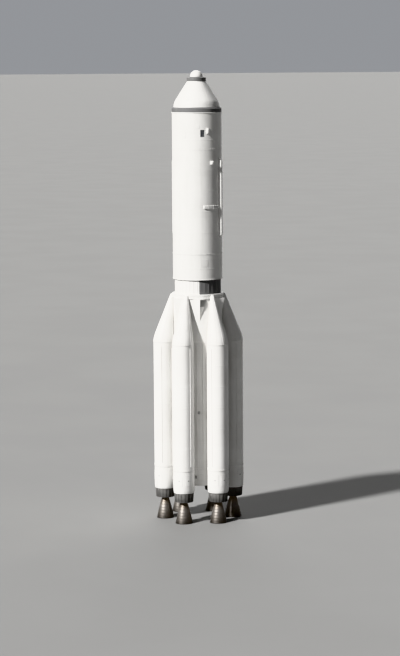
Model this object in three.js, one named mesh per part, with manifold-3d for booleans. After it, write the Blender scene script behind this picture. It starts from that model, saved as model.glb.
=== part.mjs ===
// Two-stage space rocket: a core tank ringed by six side tanks with slanted noses, each side
// tank over its own swivelling engine, and a second stage, payload section and blunt nose cone.
// Millimetres, +Z up. The origin is the centre of the core's flat tail face, by which the rocket
// is held; the side engines hang below that face. Azimuths are in degrees from -Y towards +X,
// so azimuth 0 faces the viewer of a front view.
import * as THREE from "three";
import { mergeVertices } from "three/addons/utils/BufferGeometryUtils.js";
import Module from "manifold-3d";

const wasm = await Module();
wasm.setup();

// Driving dimensions: radii
const CORE_R = 2050;
const SIDE_R = 880;
const SIDE_RING_R = 2860;
const INTERSTAGE_R = 1900;
const FRAME_RING_R = 2140;
const SIDE_COUNT = 6;
const FIRST_SIDE_AZIMUTH = 30;

// Driving dimensions: heights above the tail face
const TAIL_BAY_TOP = 1500;
const CORE_TANK_TOP = 12020;
const FRAME_RING_BOTTOM = 15660;
const FRAME_RING_TOP = 16030;
const STAGE2_BOTTOM = 17220;
const STAGE2_BAY_TOP = 19400;
const STAGE2_TANK_TOP = 28000;
const PAYLOAD_TOP = 31010;
const JOINT_RING_TOP = 31410;
const CONE_TOP = 33560;
const COLLAR_TOP = 33900;
const NOSE_TOP = 34430;

// Driving dimensions: side blocks and engines
const SKIRT_BOTTOM = -430;
const SHIELD_BOTTOM = -1200;
const NOZZLE_EXIT = -3020;
const GIMBAL_Z = -250;
const SHELL_WALL = 50;
const PIN_R = 45;
const PIN_CLEARANCE = 0.6;

// Joint lips and welded rings that stand proud of the skins
const SIDE_LIP = { height: 100, slope: 20, reach: 12 };
const CORE_LIP = { height: 80, slope: 20, reach: 12 };
const PAYLOAD_LIP = { height: 70, slope: 20, reach: 30 };

// Gap left between pieces that touch
const SEAM = 0.3;
const SADDLE_GAP = 0.5;

// How far a cutter reaches past what it cuts, or an ear into its beam
const OVERCUT = 1;

// Facets around each round piece
const CORE_SEGMENTS = 60;
const SIDE_SEGMENTS = 32;
const ENGINE_SEGMENTS = 24;
const PIN_SEGMENTS = 20;

const radians = THREE.MathUtils.degToRad;

const paint = (color, roughness, metalness) =>
  new THREE.MeshStandardMaterial({ color, roughness, metalness });
const MATERIALS = {
  white: paint(0xe8e8e4, 0.55, 0.0),
  dark: paint(0x2c2d2f, 0.6, 0.0),
  shield: paint(0x4a4a4a, 0.7, 0.2),
  steel: paint(0x6e6c69, 0.4, 0.9),
};

const rocket = new THREE.Group();

// Adds a solid to the rocket as a named mesh.
function addPiece(name, solid, material) {
  const mesh = solid.getMesh();
  const position = new Float32Array(mesh.numVert * 3);
  for (let i = 0; i < mesh.numVert; i++) {
    const start = i * mesh.numProp;
    position.set(mesh.vertProperties.subarray(start, start + 3), i * 3);
  }
  const geometry = new THREE.BufferGeometry();
  geometry.setAttribute("position", new THREE.BufferAttribute(position, 3));
  geometry.setIndex(new THREE.BufferAttribute(new Uint32Array(mesh.triVerts), 1));
  const piece = new THREE.Mesh(geometry, material);
  piece.name = name;
  rocket.add(piece);
}

// A closed geometry as a solid for joining and cutting, turned outwards where it isn't.
function toSolid(geometry) {
  geometry.deleteAttribute("normal");
  geometry.deleteAttribute("uv");
  const merged = mergeVertices(geometry, 1e-3);
  const vertProperties = merged.attributes.position.array;
  const triVerts = new Uint32Array(merged.index.array);
  const build = () => new wasm.Manifold(new wasm.Mesh({ numProp: 3, vertProperties, triVerts }));
  const solid = build();
  if (solid.volume() > 0) return solid;
  triVerts.reverse();
  return build();
}

// A solid of revolution about Z from [radius, z] points. A profile off the axis closes on itself.
function revolve(profile, segments) {
  const offAxis = profile[0][0] > 0 && profile.at(-1)[0] > 0;
  const closed = offAxis ? [...profile, profile[0]] : profile;
  const points = closed.map(([r, z]) => new THREE.Vector2(r, z));
  return toSolid(new THREE.LatheGeometry(points, segments).rotateX(Math.PI / 2));
}

const drum = (r, bottom, top, segments) =>
  revolve([[0, bottom], [r, bottom], [r, top], [0, top]], segments);

// A drum whose skin stands proud in a lip at its top, and at its foot where that is asked for.
function lippedDrum(r, bottom, top, lip, segments, footLip = false) {
  const wide = r + lip.reach;
  const foot = footLip
    ? [[wide, bottom], [wide, bottom + lip.height], [r, bottom + lip.height + lip.slope]]
    : [[r, bottom]];
  const head = [[r, top - lip.height - lip.slope], [wide, top - lip.height], [wide, top]];
  return revolve([[0, bottom], ...foot, ...head, [0, top]], segments);
}

// A box between two corners.
function block(low, high) {
  const size = high.map((v, i) => v - low[i]);
  const middle = high.map((v, i) => (v + low[i]) / 2);
  return toSolid(new THREE.BoxGeometry(...size).translate(...middle));
}

// A solid through rings of [x, y, z] points, all of one length, from the lowest up. Flat ends.
function loftRings(rings) {
  const count = rings[0].length;
  const last = (rings.length - 1) * count;
  const index = [];
  for (let ring = 0; ring < last; ring += count)
    for (let i = 0; i < count; i++) {
      const next = (i + 1) % count;
      index.push(ring + i, ring + next, ring + count + next);
      index.push(ring + i, ring + count + next, ring + count + i);
    }
  const outline = rings[0].map(([x, y]) => new THREE.Vector2(x, y));
  for (const [a, b, c] of THREE.ShapeUtils.triangulateShape(outline, [])) {
    index.push(a, c, b);
    index.push(last + a, last + b, last + c);
  }
  const geometry = new THREE.BufferGeometry();
  geometry.setAttribute("position", new THREE.Float32BufferAttribute(rings.flat(2), 3));
  return toSolid(geometry.setIndex(index));
}

// A solid through circles stacked along Z, each {x, r, z}.
function loftCircles(circles, segments) {
  const turns = [...Array(segments)].map((_, i) => (2 * Math.PI * i) / segments);
  return loftRings(
    circles.map(({ x, r, z }) => turns.map((t) => [x + r * Math.cos(t), r * Math.sin(t), z])),
  );
}

// An outline of [x, y] points pushed along Z from one height to another.
function prism(outline, bottom, top) {
  const shape = new THREE.Shape(outline.map(([x, y]) => new THREE.Vector2(x, y)));
  const depth = top - bottom;
  const made = new THREE.ExtrudeGeometry(shape, { depth, bevelEnabled: false });
  return toSolid(made.translate(0, 0, bottom));
}

// Turns a solid made on the +X axis to an azimuth.
const toAzimuth = (solid, azimuth) => solid.rotate([0, 0, azimuth - 90]);

const sideAzimuths = [...Array(SIDE_COUNT)].map(
  (_, i) => FIRST_SIDE_AZIMUTH + (i * 360) / SIDE_COUNT,
);

// The core's own outline, made larger, which cuts what lies against the core.
const coreCutter = (offset, bottom, top) =>
  drum(CORE_R + offset, bottom, top, CORE_SEGMENTS);

// A piece made on +X is turned first, cut by the core and added under its number.
function addAgainstCore(name, solid, azimuth, cutter, material) {
  addPiece(name, toAzimuth(solid, azimuth).subtract(cutter), material);
}

// Core of the first stage
function addCore() {
  const tail = drum(CORE_R, 0, TAIL_BAY_TOP, CORE_SEGMENTS);
  const tank = drum(CORE_R, TAIL_BAY_TOP + SEAM, CORE_TANK_TOP, CORE_SEGMENTS);
  const skirtBottom = CORE_TANK_TOP + SEAM;
  const skirtTop = FRAME_RING_BOTTOM - SEAM;
  let skirt = drum(CORE_R, skirtBottom, skirtTop, CORE_SEGMENTS);
  sideAzimuths.forEach((azimuth) => {
    skirt = skirt.add(toAzimuth(thrustBracket(skirtTop), azimuth - FIRST_SIDE_AZIMUTH));
  });
  addPiece("core_tail_bay", tail, MATERIALS.white);
  addPiece("core_oxidizer_tank", tank, MATERIALS.white);
  addPiece("core_upper_skirt", skirt, MATERIALS.white);
}

// A ridged bracket on +X that grows from nothing at its foot to its full size under the ring.
const BRACKET = { halfWidth: 690, reach: 410, height: 2700, sunk: 170 };

function thrustBracket(top) {
  const root = CORE_R - BRACKET.sunk;
  const position = [
    [root, -BRACKET.halfWidth, top],
    [CORE_R + BRACKET.reach, 0, top],
    [root, BRACKET.halfWidth, top],
    [root, 0, top - BRACKET.height],
  ];
  const geometry = new THREE.BufferGeometry();
  geometry.setAttribute("position", new THREE.Float32BufferAttribute(position.flat(), 3));
  return toSolid(geometry.setIndex([0, 1, 2, 0, 3, 1, 1, 3, 2, 0, 2, 3]));
}

// Slanted nose of a side tank: its inner edge is upright and its outer edge leans to the core.
const NOSE_SECTIONS = [
  // height, outer edge's distance from the rocket's axis
  { z: CORE_TANK_TOP + SEAM, outer: SIDE_RING_R + SIDE_R },
  { z: 12330, outer: 3700 },
  { z: 12800, outer: 3536 },
  { z: 15900, outer: 2284 },
  { z: 15980, outer: 2190 },
];

function sideNose(extra) {
  const inner = SIDE_RING_R - SIDE_R;
  const circles = NOSE_SECTIONS.map(({ z, outer }) => ({
    x: (outer + inner) / 2,
    r: (outer - inner) / 2 + extra,
    z,
  }));
  return loftCircles(circles, SIDE_SEGMENTS);
}

// Engine bay at the foot of a side tank: a shell with a closed top and a beam for the engine.
const BAY_FOOT = { narrowing: 30, height: 250, coreClearance: 20 };

function sideTailBay() {
  const footR = SIDE_R - BAY_FOOT.narrowing;
  const footTop = SKIRT_BOTTOM + BAY_FOOT.height;
  const bayTop = TAIL_BAY_TOP;
  const wide = SIDE_R + SIDE_LIP.reach;
  const outside = revolve(
    [
      [0, SKIRT_BOTTOM],
      [footR, SKIRT_BOTTOM],
      [SIDE_R, footTop],
      [SIDE_R, bayTop - SIDE_LIP.height - SIDE_LIP.slope],
      [wide, bayTop - SIDE_LIP.height],
      [wide, bayTop],
      [0, bayTop],
    ],
    SIDE_SEGMENTS,
  );
  const low = SKIRT_BOTTOM - OVERCUT;
  const cavity = drum(footR - SHELL_WALL, low, bayTop - SHELL_WALL, SIDE_SEGMENTS)
    .translate([SIDE_RING_R, 0, 0])
    .subtract(coreCutter(SHELL_WALL + BAY_FOOT.coreClearance, low - OVERCUT, bayTop));
  return outside.translate([SIDE_RING_R, 0, 0]).subtract(cavity).add(gimbalBeam());
}

// Beam across the bay with two ears, bored for the engine's pin.
const BEAM = { halfWidth: 130, bottom: -40, top: 140, outboardGap: 60 };
const EAR = { near: 310, far: 370, foot: GIMBAL_Z - 100 };

function gimbalBeam() {
  const { halfWidth, bottom, top } = BEAM;
  const inboard = CORE_R + SHELL_WALL - SIDE_RING_R;
  let beam = block([inboard, -halfWidth, bottom], [SIDE_R - BEAM.outboardGap, halfWidth, top]);
  for (const [near, far] of [[-EAR.far, -EAR.near], [EAR.near, EAR.far]])
    beam = beam.add(block([near, -halfWidth, EAR.foot], [far, halfWidth, bottom + OVERCUT]));
  const bore = gimbalPin(PIN_R + PIN_CLEARANCE, EAR.far + OVERCUT);
  return beam.subtract(bore).translate([SIDE_RING_R, 0, 0]);
}

// The pin lies along the radius of the rocket, so that the engine swings sideways.
function gimbalPin(r, halfLength) {
  return drum(r, -halfLength, halfLength, PIN_SEGMENTS)
    .rotate([0, 90, 0])
    .translate([0, 0, GIMBAL_Z]);
}

// Tapered heat shield under an engine bay, clear of the core and open below for the nozzle, with
// upright ribs all round.
const SHIELD = { topInset: 75, footInset: 130, wall: 40 };
const SHIELD_RIBS = { count: 18, halfTurn: 1.6, reach: 18 };

function heatShield() {
  const { wall } = SHIELD;
  const { count, halfTurn, reach } = SHIELD_RIBS;
  const foot = { r: SIDE_R - SHIELD.footInset, z: SHIELD_BOTTOM };
  const top = { r: SIDE_R - SHIELD.topInset, z: SKIRT_BOTTOM - SEAM };
  const rib = [
    { offset: -halfTurn, proud: 0 },
    { offset: -halfTurn, proud: reach },
    { offset: halfTurn, proud: reach },
    { offset: halfTurn, proud: 0 },
  ];
  const corners = [...Array(count)].flatMap((_, i) =>
    rib.map(({ offset, proud }) => ({ turn: radians((i * 360) / count + offset), proud })),
  );
  const ring = ({ r, z }) =>
    corners.map(({ turn, proud }) => [(r + proud) * Math.cos(turn), (r + proud) * Math.sin(turn), z]);
  const sleeve = loftRings([ring(foot), ring(top)]);
  const low = foot.z - OVERCUT;
  const high = top.z + OVERCUT;
  const inside = revolve(
    [[0, low], [foot.r - wall, low], [top.r - wall, high], [0, high]],
    SIDE_SEGMENTS,
  );
  return sleeve.subtract(inside).translate([SIDE_RING_R, 0, 0]);
}

// Engine: head, chamber and bell, one shell open at the exit, with the pin it swings on, hoops
// round the bell and the pump beside the chamber.
const HEAD = { r: 285, top: GIMBAL_Z + 100, foot: -420 };
const CHAMBER = { r: 215, top: -470, foot: -760 };
const BELL = { throatR: 150, throatZ: -930, exitR: 715, wall: 28, floorRise: 20 };
const BELL_HOOPS = [
  // share of the way from throat to exit, half its height, how far it stands out
  { share: 0.05, half: 45, reach: 55 },
  { share: 0.32, half: 22, reach: 18 },
  { share: 0.56, half: 22, reach: 18 },
  { share: 0.79, half: 22, reach: 18 },
];
const INNER_SHARES = [1, 0.6, 0.25, 0];
const EXIT_FLANGE = { height: 40, reach: 14 };
const PUMP = { x: 460, r: 110, top: -470, foot: -1030, segments: 14 };
const PUMP_PIPE = { r: 34, segments: 8 };
const PUMP_PIPES = [
  // height, distance from the engine's axis where it leaves the chamber or bell
  { z: -520, start: 150 },
  { z: -985, start: 154 },
];

function bellRadius(share) {
  return BELL.throatR + (BELL.exitR - BELL.throatR) * (1.35 * share - 0.35 * share * share);
}

function bellHeight(share) {
  return BELL.throatZ + (NOZZLE_EXIT - BELL.throatZ) * share;
}

function engine() {
  const length = BELL.throatZ - NOZZLE_EXIT;
  const outside = [[BELL.throatR, BELL.throatZ]];
  for (const { share, half, reach } of BELL_HOOPS) {
    const step = half / length;
    outside.push([bellRadius(share - step), bellHeight(share - step)]);
    outside.push([bellRadius(share) + reach, bellHeight(share)]);
    outside.push([bellRadius(share + step), bellHeight(share + step)]);
  }
  const flangeTop = 1 - EXIT_FLANGE.height / length;
  outside.push([bellRadius(flangeTop), bellHeight(flangeTop)]);
  outside.push([BELL.exitR + EXIT_FLANGE.reach, NOZZLE_EXIT]);
  const inside = INNER_SHARES.map((t) => [bellRadius(t) - BELL.wall, bellHeight(t)]);
  const profile = [
    [0, HEAD.top],
    [HEAD.r, HEAD.top],
    [HEAD.r, HEAD.foot],
    [CHAMBER.r, CHAMBER.top],
    [CHAMBER.r, CHAMBER.foot],
    ...outside,
    ...inside,
    [0, BELL.throatZ + BELL.floorRise],
  ];
  return revolve(profile, ENGINE_SEGMENTS)
    .add(gimbalPin(PIN_R, EAR.far))
    .add(pump())
    .translate([SIDE_RING_R, 0, 0]);
}

// The pump stands beside the chamber, outboard, on two level pipes.
function pump() {
  let made = drum(PUMP.r, PUMP.foot, PUMP.top, PUMP.segments).translate([PUMP.x, 0, 0]);
  for (const { z, start } of PUMP_PIPES) {
    const pipe = drum(PUMP_PIPE.r, start, PUMP.x, PUMP_PIPE.segments).rotate([0, 90, 0]);
    made = made.add(pipe.translate([0, 0, z]));
  }
  return made;
}

// Side tank with a lip at its top and two cable trays along it.
const TRAY = { turns: [-70, 70], halfWidth: 45, reach: 40, footGap: 300, topGap: 350 };

function sideTank() {
  const bottom = TAIL_BAY_TOP + SEAM;
  let tank = lippedDrum(SIDE_R, bottom, CORE_TANK_TOP, SIDE_LIP, SIDE_SEGMENTS);
  for (const turn of TRAY.turns) {
    const tray = block(
      [SIDE_R - TRAY.halfWidth, -TRAY.halfWidth, bottom + TRAY.footGap],
      [SIDE_R + TRAY.reach, TRAY.halfWidth, CORE_TANK_TOP - TRAY.topGap],
    );
    tank = tank.add(tray.rotate([0, 0, turn]));
  }
  return tank.translate([SIDE_RING_R, 0, 0]);
}

// Six side blocks, each a tank with its nose, engine bay, heat shield and engine
function addSideBlocks() {
  const saddle = coreCutter(SADDLE_GAP, SKIRT_BOTTOM - 10, FRAME_RING_TOP + 300);
  const tank = sideTank();
  const nose = sideNose(0);
  const bay = sideTailBay();
  const shield = heatShield();
  const motor = engine();
  sideAzimuths.forEach((azimuth, i) => {
    const n = i + 1;
    addAgainstCore(`side_tank_${n}`, tank, azimuth, saddle, MATERIALS.white);
    addAgainstCore(`side_nose_${n}`, nose, azimuth, saddle, MATERIALS.white);
    addAgainstCore(`engine_bay_${n}`, bay, azimuth, saddle, MATERIALS.white);
    addPiece(`heat_shield_${n}`, toAzimuth(shield, azimuth), MATERIALS.shield);
    addPiece(`engine_${n}`, toAzimuth(motor, azimuth), MATERIALS.steel);
  });
}

// Frame ring on top of the core, two flanges with a groove between them, notched where the side
// noses rise past it
const RING_GROOVE = { flange: 90, depth: 25 };
const NOTCH_CLEARANCE = 12;

function addFrameRing() {
  const { flange, depth } = RING_GROOVE;
  const grooveR = FRAME_RING_R - depth;
  let ring = revolve(
    [
      [0, FRAME_RING_BOTTOM],
      [FRAME_RING_R, FRAME_RING_BOTTOM],
      [FRAME_RING_R, FRAME_RING_BOTTOM + flange],
      [grooveR, FRAME_RING_BOTTOM + flange + depth],
      [grooveR, FRAME_RING_TOP - flange - depth],
      [FRAME_RING_R, FRAME_RING_TOP - flange],
      [FRAME_RING_R, FRAME_RING_TOP],
      [0, FRAME_RING_TOP],
    ],
    CORE_SEGMENTS,
  );
  sideAzimuths.forEach((azimuth) => {
    const notch = toAzimuth(sideNose(NOTCH_CLEARANCE), azimuth);
    ring = ring.subtract(notch.subtract(coreCutter(0, CORE_TANK_TOP, FRAME_RING_TOP + OVERCUT)));
  });
  addPiece("core_frame_ring", ring, MATERIALS.white);
}

// Closed interstage of four quarter panels with stringers, painted white and dark in turn, round
// the engine block
const INTERSTAGE_WALL = 60;
const STRINGERS = { perPanel: 9, edgeTurn: 5, halfWidth: 25, reach: 22, endGap: 90 };
const ENGINE_BLOCK = { r: 1500, footGap: 180 };

function addInterstage() {
  const bottom = FRAME_RING_TOP + SEAM;
  const top = STAGE2_BOTTOM - SEAM;
  let shell = drum(INTERSTAGE_R, bottom, top, CORE_SEGMENTS);
  const { perPanel, edgeTurn } = STRINGERS;
  const pitch = (90 - 2 * edgeTurn) / (perPanel - 1);
  for (let panel = 0; panel < 4; panel++)
    for (let i = 0; i < perPanel; i++) {
      const stringer = block(
        [INTERSTAGE_R - STRINGERS.halfWidth, -STRINGERS.halfWidth, bottom + STRINGERS.endGap],
        [INTERSTAGE_R + STRINGERS.reach, STRINGERS.halfWidth, top - STRINGERS.endGap],
      );
      shell = shell.add(toAzimuth(stringer, 90 * panel + edgeTurn + pitch * i));
    }
  const insideR = INTERSTAGE_R - INTERSTAGE_WALL;
  shell = shell.subtract(drum(insideR, bottom - OVERCUT, top + OVERCUT, CORE_SEGMENTS));
  const far = INTERSTAGE_R + 100;
  const quarter = block([SEAM, SEAM, bottom - OVERCUT], [far, far, top + OVERCUT]);
  for (let i = 0; i < 4; i++) {
    const panel = shell.intersect(quarter.rotate([0, 0, 90 * (i - 1)]));
    const material = i % 2 ? MATERIALS.white : MATERIALS.dark;
    addPiece(`interstage_panel_${i + 1}`, panel, material);
  }
  const motors = drum(ENGINE_BLOCK.r, bottom + ENGINE_BLOCK.footGap, top, SIDE_SEGMENTS);
  addPiece("stage2_engine_block", motors, MATERIALS.steel);
}

// Raised fairing on the skin at an azimuth: a block with sloped ends, cut to the skin.
const FAIRING = { sunk: 40, endShare: 0.1 };

function skinFairing({ azimuth, bottom, top, width, reach, slope }) {
  const root = CORE_R - FAIRING.sunk;
  const end = CORE_R + reach * FAIRING.endShare;
  const outline = [
    [root, bottom],
    [end, bottom],
    [CORE_R + reach, bottom + slope],
    [CORE_R + reach, top - slope],
    [end, top],
    [root, top],
  ];
  const made = prism(outline, -width / 2, width / 2).rotate([90, 0, 0]);
  const skin = coreCutter(SEAM, bottom - 100, top + 100);
  return toAzimuth(made, azimuth).subtract(skin);
}

// Raised band round part of the skin between two azimuths.
function skinBand({ from, to, bottom, top, reach }) {
  const ring = drum(CORE_R + reach, bottom, top, CORE_SEGMENTS).subtract(
    coreCutter(SEAM, bottom - OVERCUT, top + OVERCUT),
  );
  const far = 2 * CORE_R;
  const half = radians((to - from) / 2);
  const wedge = prism(
    [[0, 0], [far, -far * Math.tan(half)], [far, far * Math.tan(half)]],
    bottom - OVERCUT,
    top + OVERCUT,
  );
  return ring.intersect(toAzimuth(wedge, (from + to) / 2));
}

// Second stage and payload section, one diameter all the way up
const CABLE_DUCT = { azimuth: 60, bottom: 20670, top: 27270, width: 240, reach: 230, slope: 260 };
const CROSS_DUCT = { from: 12, to: 60, bottom: 23100, top: 23380, reach: 130 };
const STAGE2_BLISTER = { azimuth: 33, bottom: 26670, top: 27070, width: 380, reach: 210, slope: 90 };
const PAYLOAD_BLISTER = { azimuth: 22, bottom: 29200, top: 29750, width: 300, reach: 160, slope: 90 };
const WINDOW = { azimuth: 9.5, bottom: 29000, top: 29580, width: 360, depth: 70, pane: 25 };

function windowBlock(grow, outerReach, innerReach) {
  const half = WINDOW.width / 2 + grow;
  const made = block(
    [innerReach, -half, WINDOW.bottom - grow],
    [outerReach, half, WINDOW.top + grow],
  );
  return toAzimuth(made, WINDOW.azimuth);
}

function addSecondStage() {
  const bay = lippedDrum(CORE_R, STAGE2_BOTTOM, STAGE2_BAY_TOP, CORE_LIP, CORE_SEGMENTS, true);
  const tanks = drum(CORE_R, STAGE2_BAY_TOP + SEAM, STAGE2_TANK_TOP, CORE_SEGMENTS);
  addPiece("stage2_engine_bay", bay, MATERIALS.white);
  addPiece("stage2_tanks", tanks, MATERIALS.white);
  addPiece("stage2_blister", skinFairing(STAGE2_BLISTER), MATERIALS.white);
  addPiece("cable_duct_front", skinFairing(CABLE_DUCT).add(skinBand(CROSS_DUCT)), MATERIALS.white);
  const rearDuct = { ...CABLE_DUCT, azimuth: CABLE_DUCT.azimuth + 180 };
  addPiece("cable_duct_rear", skinFairing(rearDuct), MATERIALS.white);
}

function addPayloadSection() {
  const floorOfRecess = CORE_R - WINDOW.depth;
  const bottom = STAGE2_TANK_TOP + SEAM;
  const skin = lippedDrum(CORE_R, bottom, PAYLOAD_TOP, PAYLOAD_LIP, CORE_SEGMENTS);
  const section = skin.subtract(windowBlock(0, CORE_R + 100, floorOfRecess));
  const pane = windowBlock(-2 * SEAM, floorOfRecess + WINDOW.pane, floorOfRecess + SEAM);
  addPiece("payload_section", section, MATERIALS.white);
  addPiece("sensor_window", pane, MATERIALS.dark);
  addPiece("payload_blister", skinFairing(PAYLOAD_BLISTER), MATERIALS.white);
}

// Nose: a dark joint ring, a cone with a rounded shoulder, a dark collar and a domed cap
const JOINT_RING = { proud: 8, slope: 110, topInset: 30 };
const CONE_PROFILE = [
  // radius, height
  { r: 1900, z: JOINT_RING_TOP + SEAM },
  { r: 1885, z: 31610 },
  { r: 1812, z: 31870 },
  { r: 1505, z: 32380 },
  { r: 740, z: CONE_TOP },
];
const COLLAR = { r: 790, topR: 580, slope: 70 };
const CAP_R = 520;
const CAP_STEPS = 5;

function addNose() {
  const ringBottom = PAYLOAD_TOP + SEAM;
  const ringR = CORE_R + JOINT_RING.proud;
  const ring = [
    [0, ringBottom],
    [ringR, ringBottom],
    [ringR, JOINT_RING_TOP - JOINT_RING.slope],
    [CONE_PROFILE[0].r + JOINT_RING.topInset, JOINT_RING_TOP],
    [0, JOINT_RING_TOP],
  ];
  addPiece("nose_joint_ring", revolve(ring, CORE_SEGMENTS), MATERIALS.dark);
  const side = CONE_PROFILE.map(({ r, z }) => [r, z]);
  const cone = [[0, CONE_PROFILE[0].z], ...side, [0, CONE_TOP]];
  addPiece("nose_cone", revolve(cone, CORE_SEGMENTS), MATERIALS.white);
  const collar = [
    [0, CONE_TOP + SEAM],
    [COLLAR.r, CONE_TOP + SEAM],
    [COLLAR.r, COLLAR_TOP - COLLAR.slope],
    [COLLAR.topR, COLLAR_TOP],
    [0, COLLAR_TOP],
  ];
  addPiece("nose_collar", revolve(collar, SIDE_SEGMENTS), MATERIALS.dark);
  const capBottom = COLLAR_TOP + SEAM;
  const capHeight = NOSE_TOP - capBottom;
  const dome = [...Array(CAP_STEPS)].map((_, i) => {
    const rise = radians((90 * i) / CAP_STEPS);
    return [CAP_R * Math.cos(rise), capBottom + capHeight * Math.sin(rise)];
  });
  const cap = [[0, capBottom], ...dome, [0, NOSE_TOP]];
  addPiece("nose_cap", revolve(cap, SIDE_SEGMENTS), MATERIALS.white);
}

addCore();
addFrameRing();
addSideBlocks();
addInterstage();
addSecondStage();
addPayloadSection();
addNose();

export default rocket;
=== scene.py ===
"""Dresses a two-stage rocket: smooth skins, seams, fasteners, engines, paint, floor and light.

Metres, +Z up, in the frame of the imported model. Azimuths are degrees from -Y towards +X.
"""

import logging
import math
from dataclasses import dataclass, replace
from enum import Enum
from typing import Callable, Sequence

import bmesh
import bpy
from mathutils import Matrix, Vector

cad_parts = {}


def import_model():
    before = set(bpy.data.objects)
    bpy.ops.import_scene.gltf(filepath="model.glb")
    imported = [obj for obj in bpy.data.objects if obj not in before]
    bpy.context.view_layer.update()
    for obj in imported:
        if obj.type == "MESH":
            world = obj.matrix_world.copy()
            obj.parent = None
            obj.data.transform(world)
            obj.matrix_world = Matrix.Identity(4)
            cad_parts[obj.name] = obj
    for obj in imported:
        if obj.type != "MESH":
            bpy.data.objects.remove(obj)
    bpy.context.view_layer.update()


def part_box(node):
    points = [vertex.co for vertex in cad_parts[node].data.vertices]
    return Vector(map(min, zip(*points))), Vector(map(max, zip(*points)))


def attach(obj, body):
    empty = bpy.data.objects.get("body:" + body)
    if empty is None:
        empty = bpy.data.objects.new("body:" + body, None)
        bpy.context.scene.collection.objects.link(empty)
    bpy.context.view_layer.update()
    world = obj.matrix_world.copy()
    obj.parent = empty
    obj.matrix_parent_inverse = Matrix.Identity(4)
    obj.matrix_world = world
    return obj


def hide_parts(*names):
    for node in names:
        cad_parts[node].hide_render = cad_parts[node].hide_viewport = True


LOG = logging.getLogger("rocket")
ROCKET_BODY = "rocket"
SIDE_COUNT = 6
FIRST_SIDE_AZIMUTH = 30.0
BELL_THROAT = -0.93
SEAM = 0.0004
MERGE = 1e-5
SHARP_EDGE = math.radians(32.0)
AXIS = Vector((0.0, 0.0, 0.0))
UP = Vector((0.0, 0.0, 1.0))

Colour = tuple[float, float, float]
Profile = Sequence[tuple[float, float]]
Places = list[tuple[Vector, Vector]]
Filter = Callable[[Vector], Vector]


def polar(azimuth: float, radius: float, height: float) -> Vector:
    """Gives the point at an azimuth, a distance from the rocket's axis and a height."""
    turn = math.radians(azimuth)
    return Vector((radius * math.sin(turn), -radius * math.cos(turn), height))


def turned(azimuth: float, centre: Vector = AXIS) -> Matrix:
    """Gives the matrix that moves the origin to a centre and points +X outwards at an azimuth."""
    return Matrix.Translation(centre) @ Matrix.Rotation(math.radians(azimuth - 90.0), 4, "Z")


def side_azimuths() -> list[float]:
    """Gives the azimuths of the six side blocks in order."""
    return [FIRST_SIDE_AZIMUTH + 360.0 * i / SIDE_COUNT for i in range(SIDE_COUNT)]


def spread(low: float, high: float, count: int) -> list[float]:
    """Gives evenly spaced values from low to high, both included."""
    return [low + (high - low) * i / (count - 1) for i in range(count)]


def full_turn(count: int) -> list[float]:
    """Gives evenly spaced angles round a full turn, in radians."""
    return [2 * math.pi * k / count for k in range(count)]


def circle(centre: Vector, radius: float, count: int) -> list[Vector]:
    """Gives points round a level circle."""
    turns = full_turn(count)
    return [centre + Vector((radius * math.cos(turn), radius * math.sin(turn), 0.0)) for turn in turns]


def span(node: str) -> tuple[float, float]:
    """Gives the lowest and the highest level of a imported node."""
    low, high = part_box(node)
    return low[2], high[2]


def placed(name: str, data: bpy.types.ID) -> bpy.types.Object:
    """Makes an object in the scene, at the origin.

    Args:
        name: The object's name.
        data: Its mesh, light or camera.

    Returns:
        The object.
    """
    made = bpy.data.objects.new(name, data)
    bpy.context.scene.collection.objects.link(made)
    return made


def clear_of_core(limit: float) -> Filter:
    """Makes a filter that moves points out to a distance from the rocket's axis.

    Args:
        limit: The least distance from the axis that a point may keep.

    Returns:
        The filter, which leaves points further out alone.
    """

    def move(point: Vector) -> Vector:
        """Moves one point out where it lies too close to the axis.

        Args:
            point: The point.

        Returns:
            The point or a new one.
        """
        reach = math.hypot(point.x, point.y)
        if reach >= limit or reach < MERGE:
            return point
        return Vector((point.x * limit / reach, point.y * limit / reach, point.z))

    return move


def untouched(point: Vector) -> Vector:
    """Leaves a point where it is."""
    return point


class Quality(Enum):
    """Facets around a turned piece, by how large it is."""

    CORE = 180
    TANK = 112
    ENGINE = 72
    SMALL = 40


@dataclass(frozen=True)
class Sizes:
    """The sizes that the assemblies share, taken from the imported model."""

    core_r: float
    side_r: float
    side_ring_r: float
    skirt_bottom: float
    shield_bottom: float
    nozzle_exit: float

    @classmethod
    def from_frame(cls) -> "Sizes":
        """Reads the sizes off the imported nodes.

        Returns:
            The sizes.
        """
        side_low, side_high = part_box("side_nose_2")
        side_r = (side_high[1] - side_low[1]) / 2
        return cls(
            core_r=float(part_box("core_tail_bay")[1][0]),
            side_r=side_r,
            side_ring_r=side_high[0] - side_r,
            skirt_bottom=span("engine_bay_1")[0],
            shield_bottom=span("heat_shield_1")[0],
            nozzle_exit=span("engine_1")[0],
        )


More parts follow.
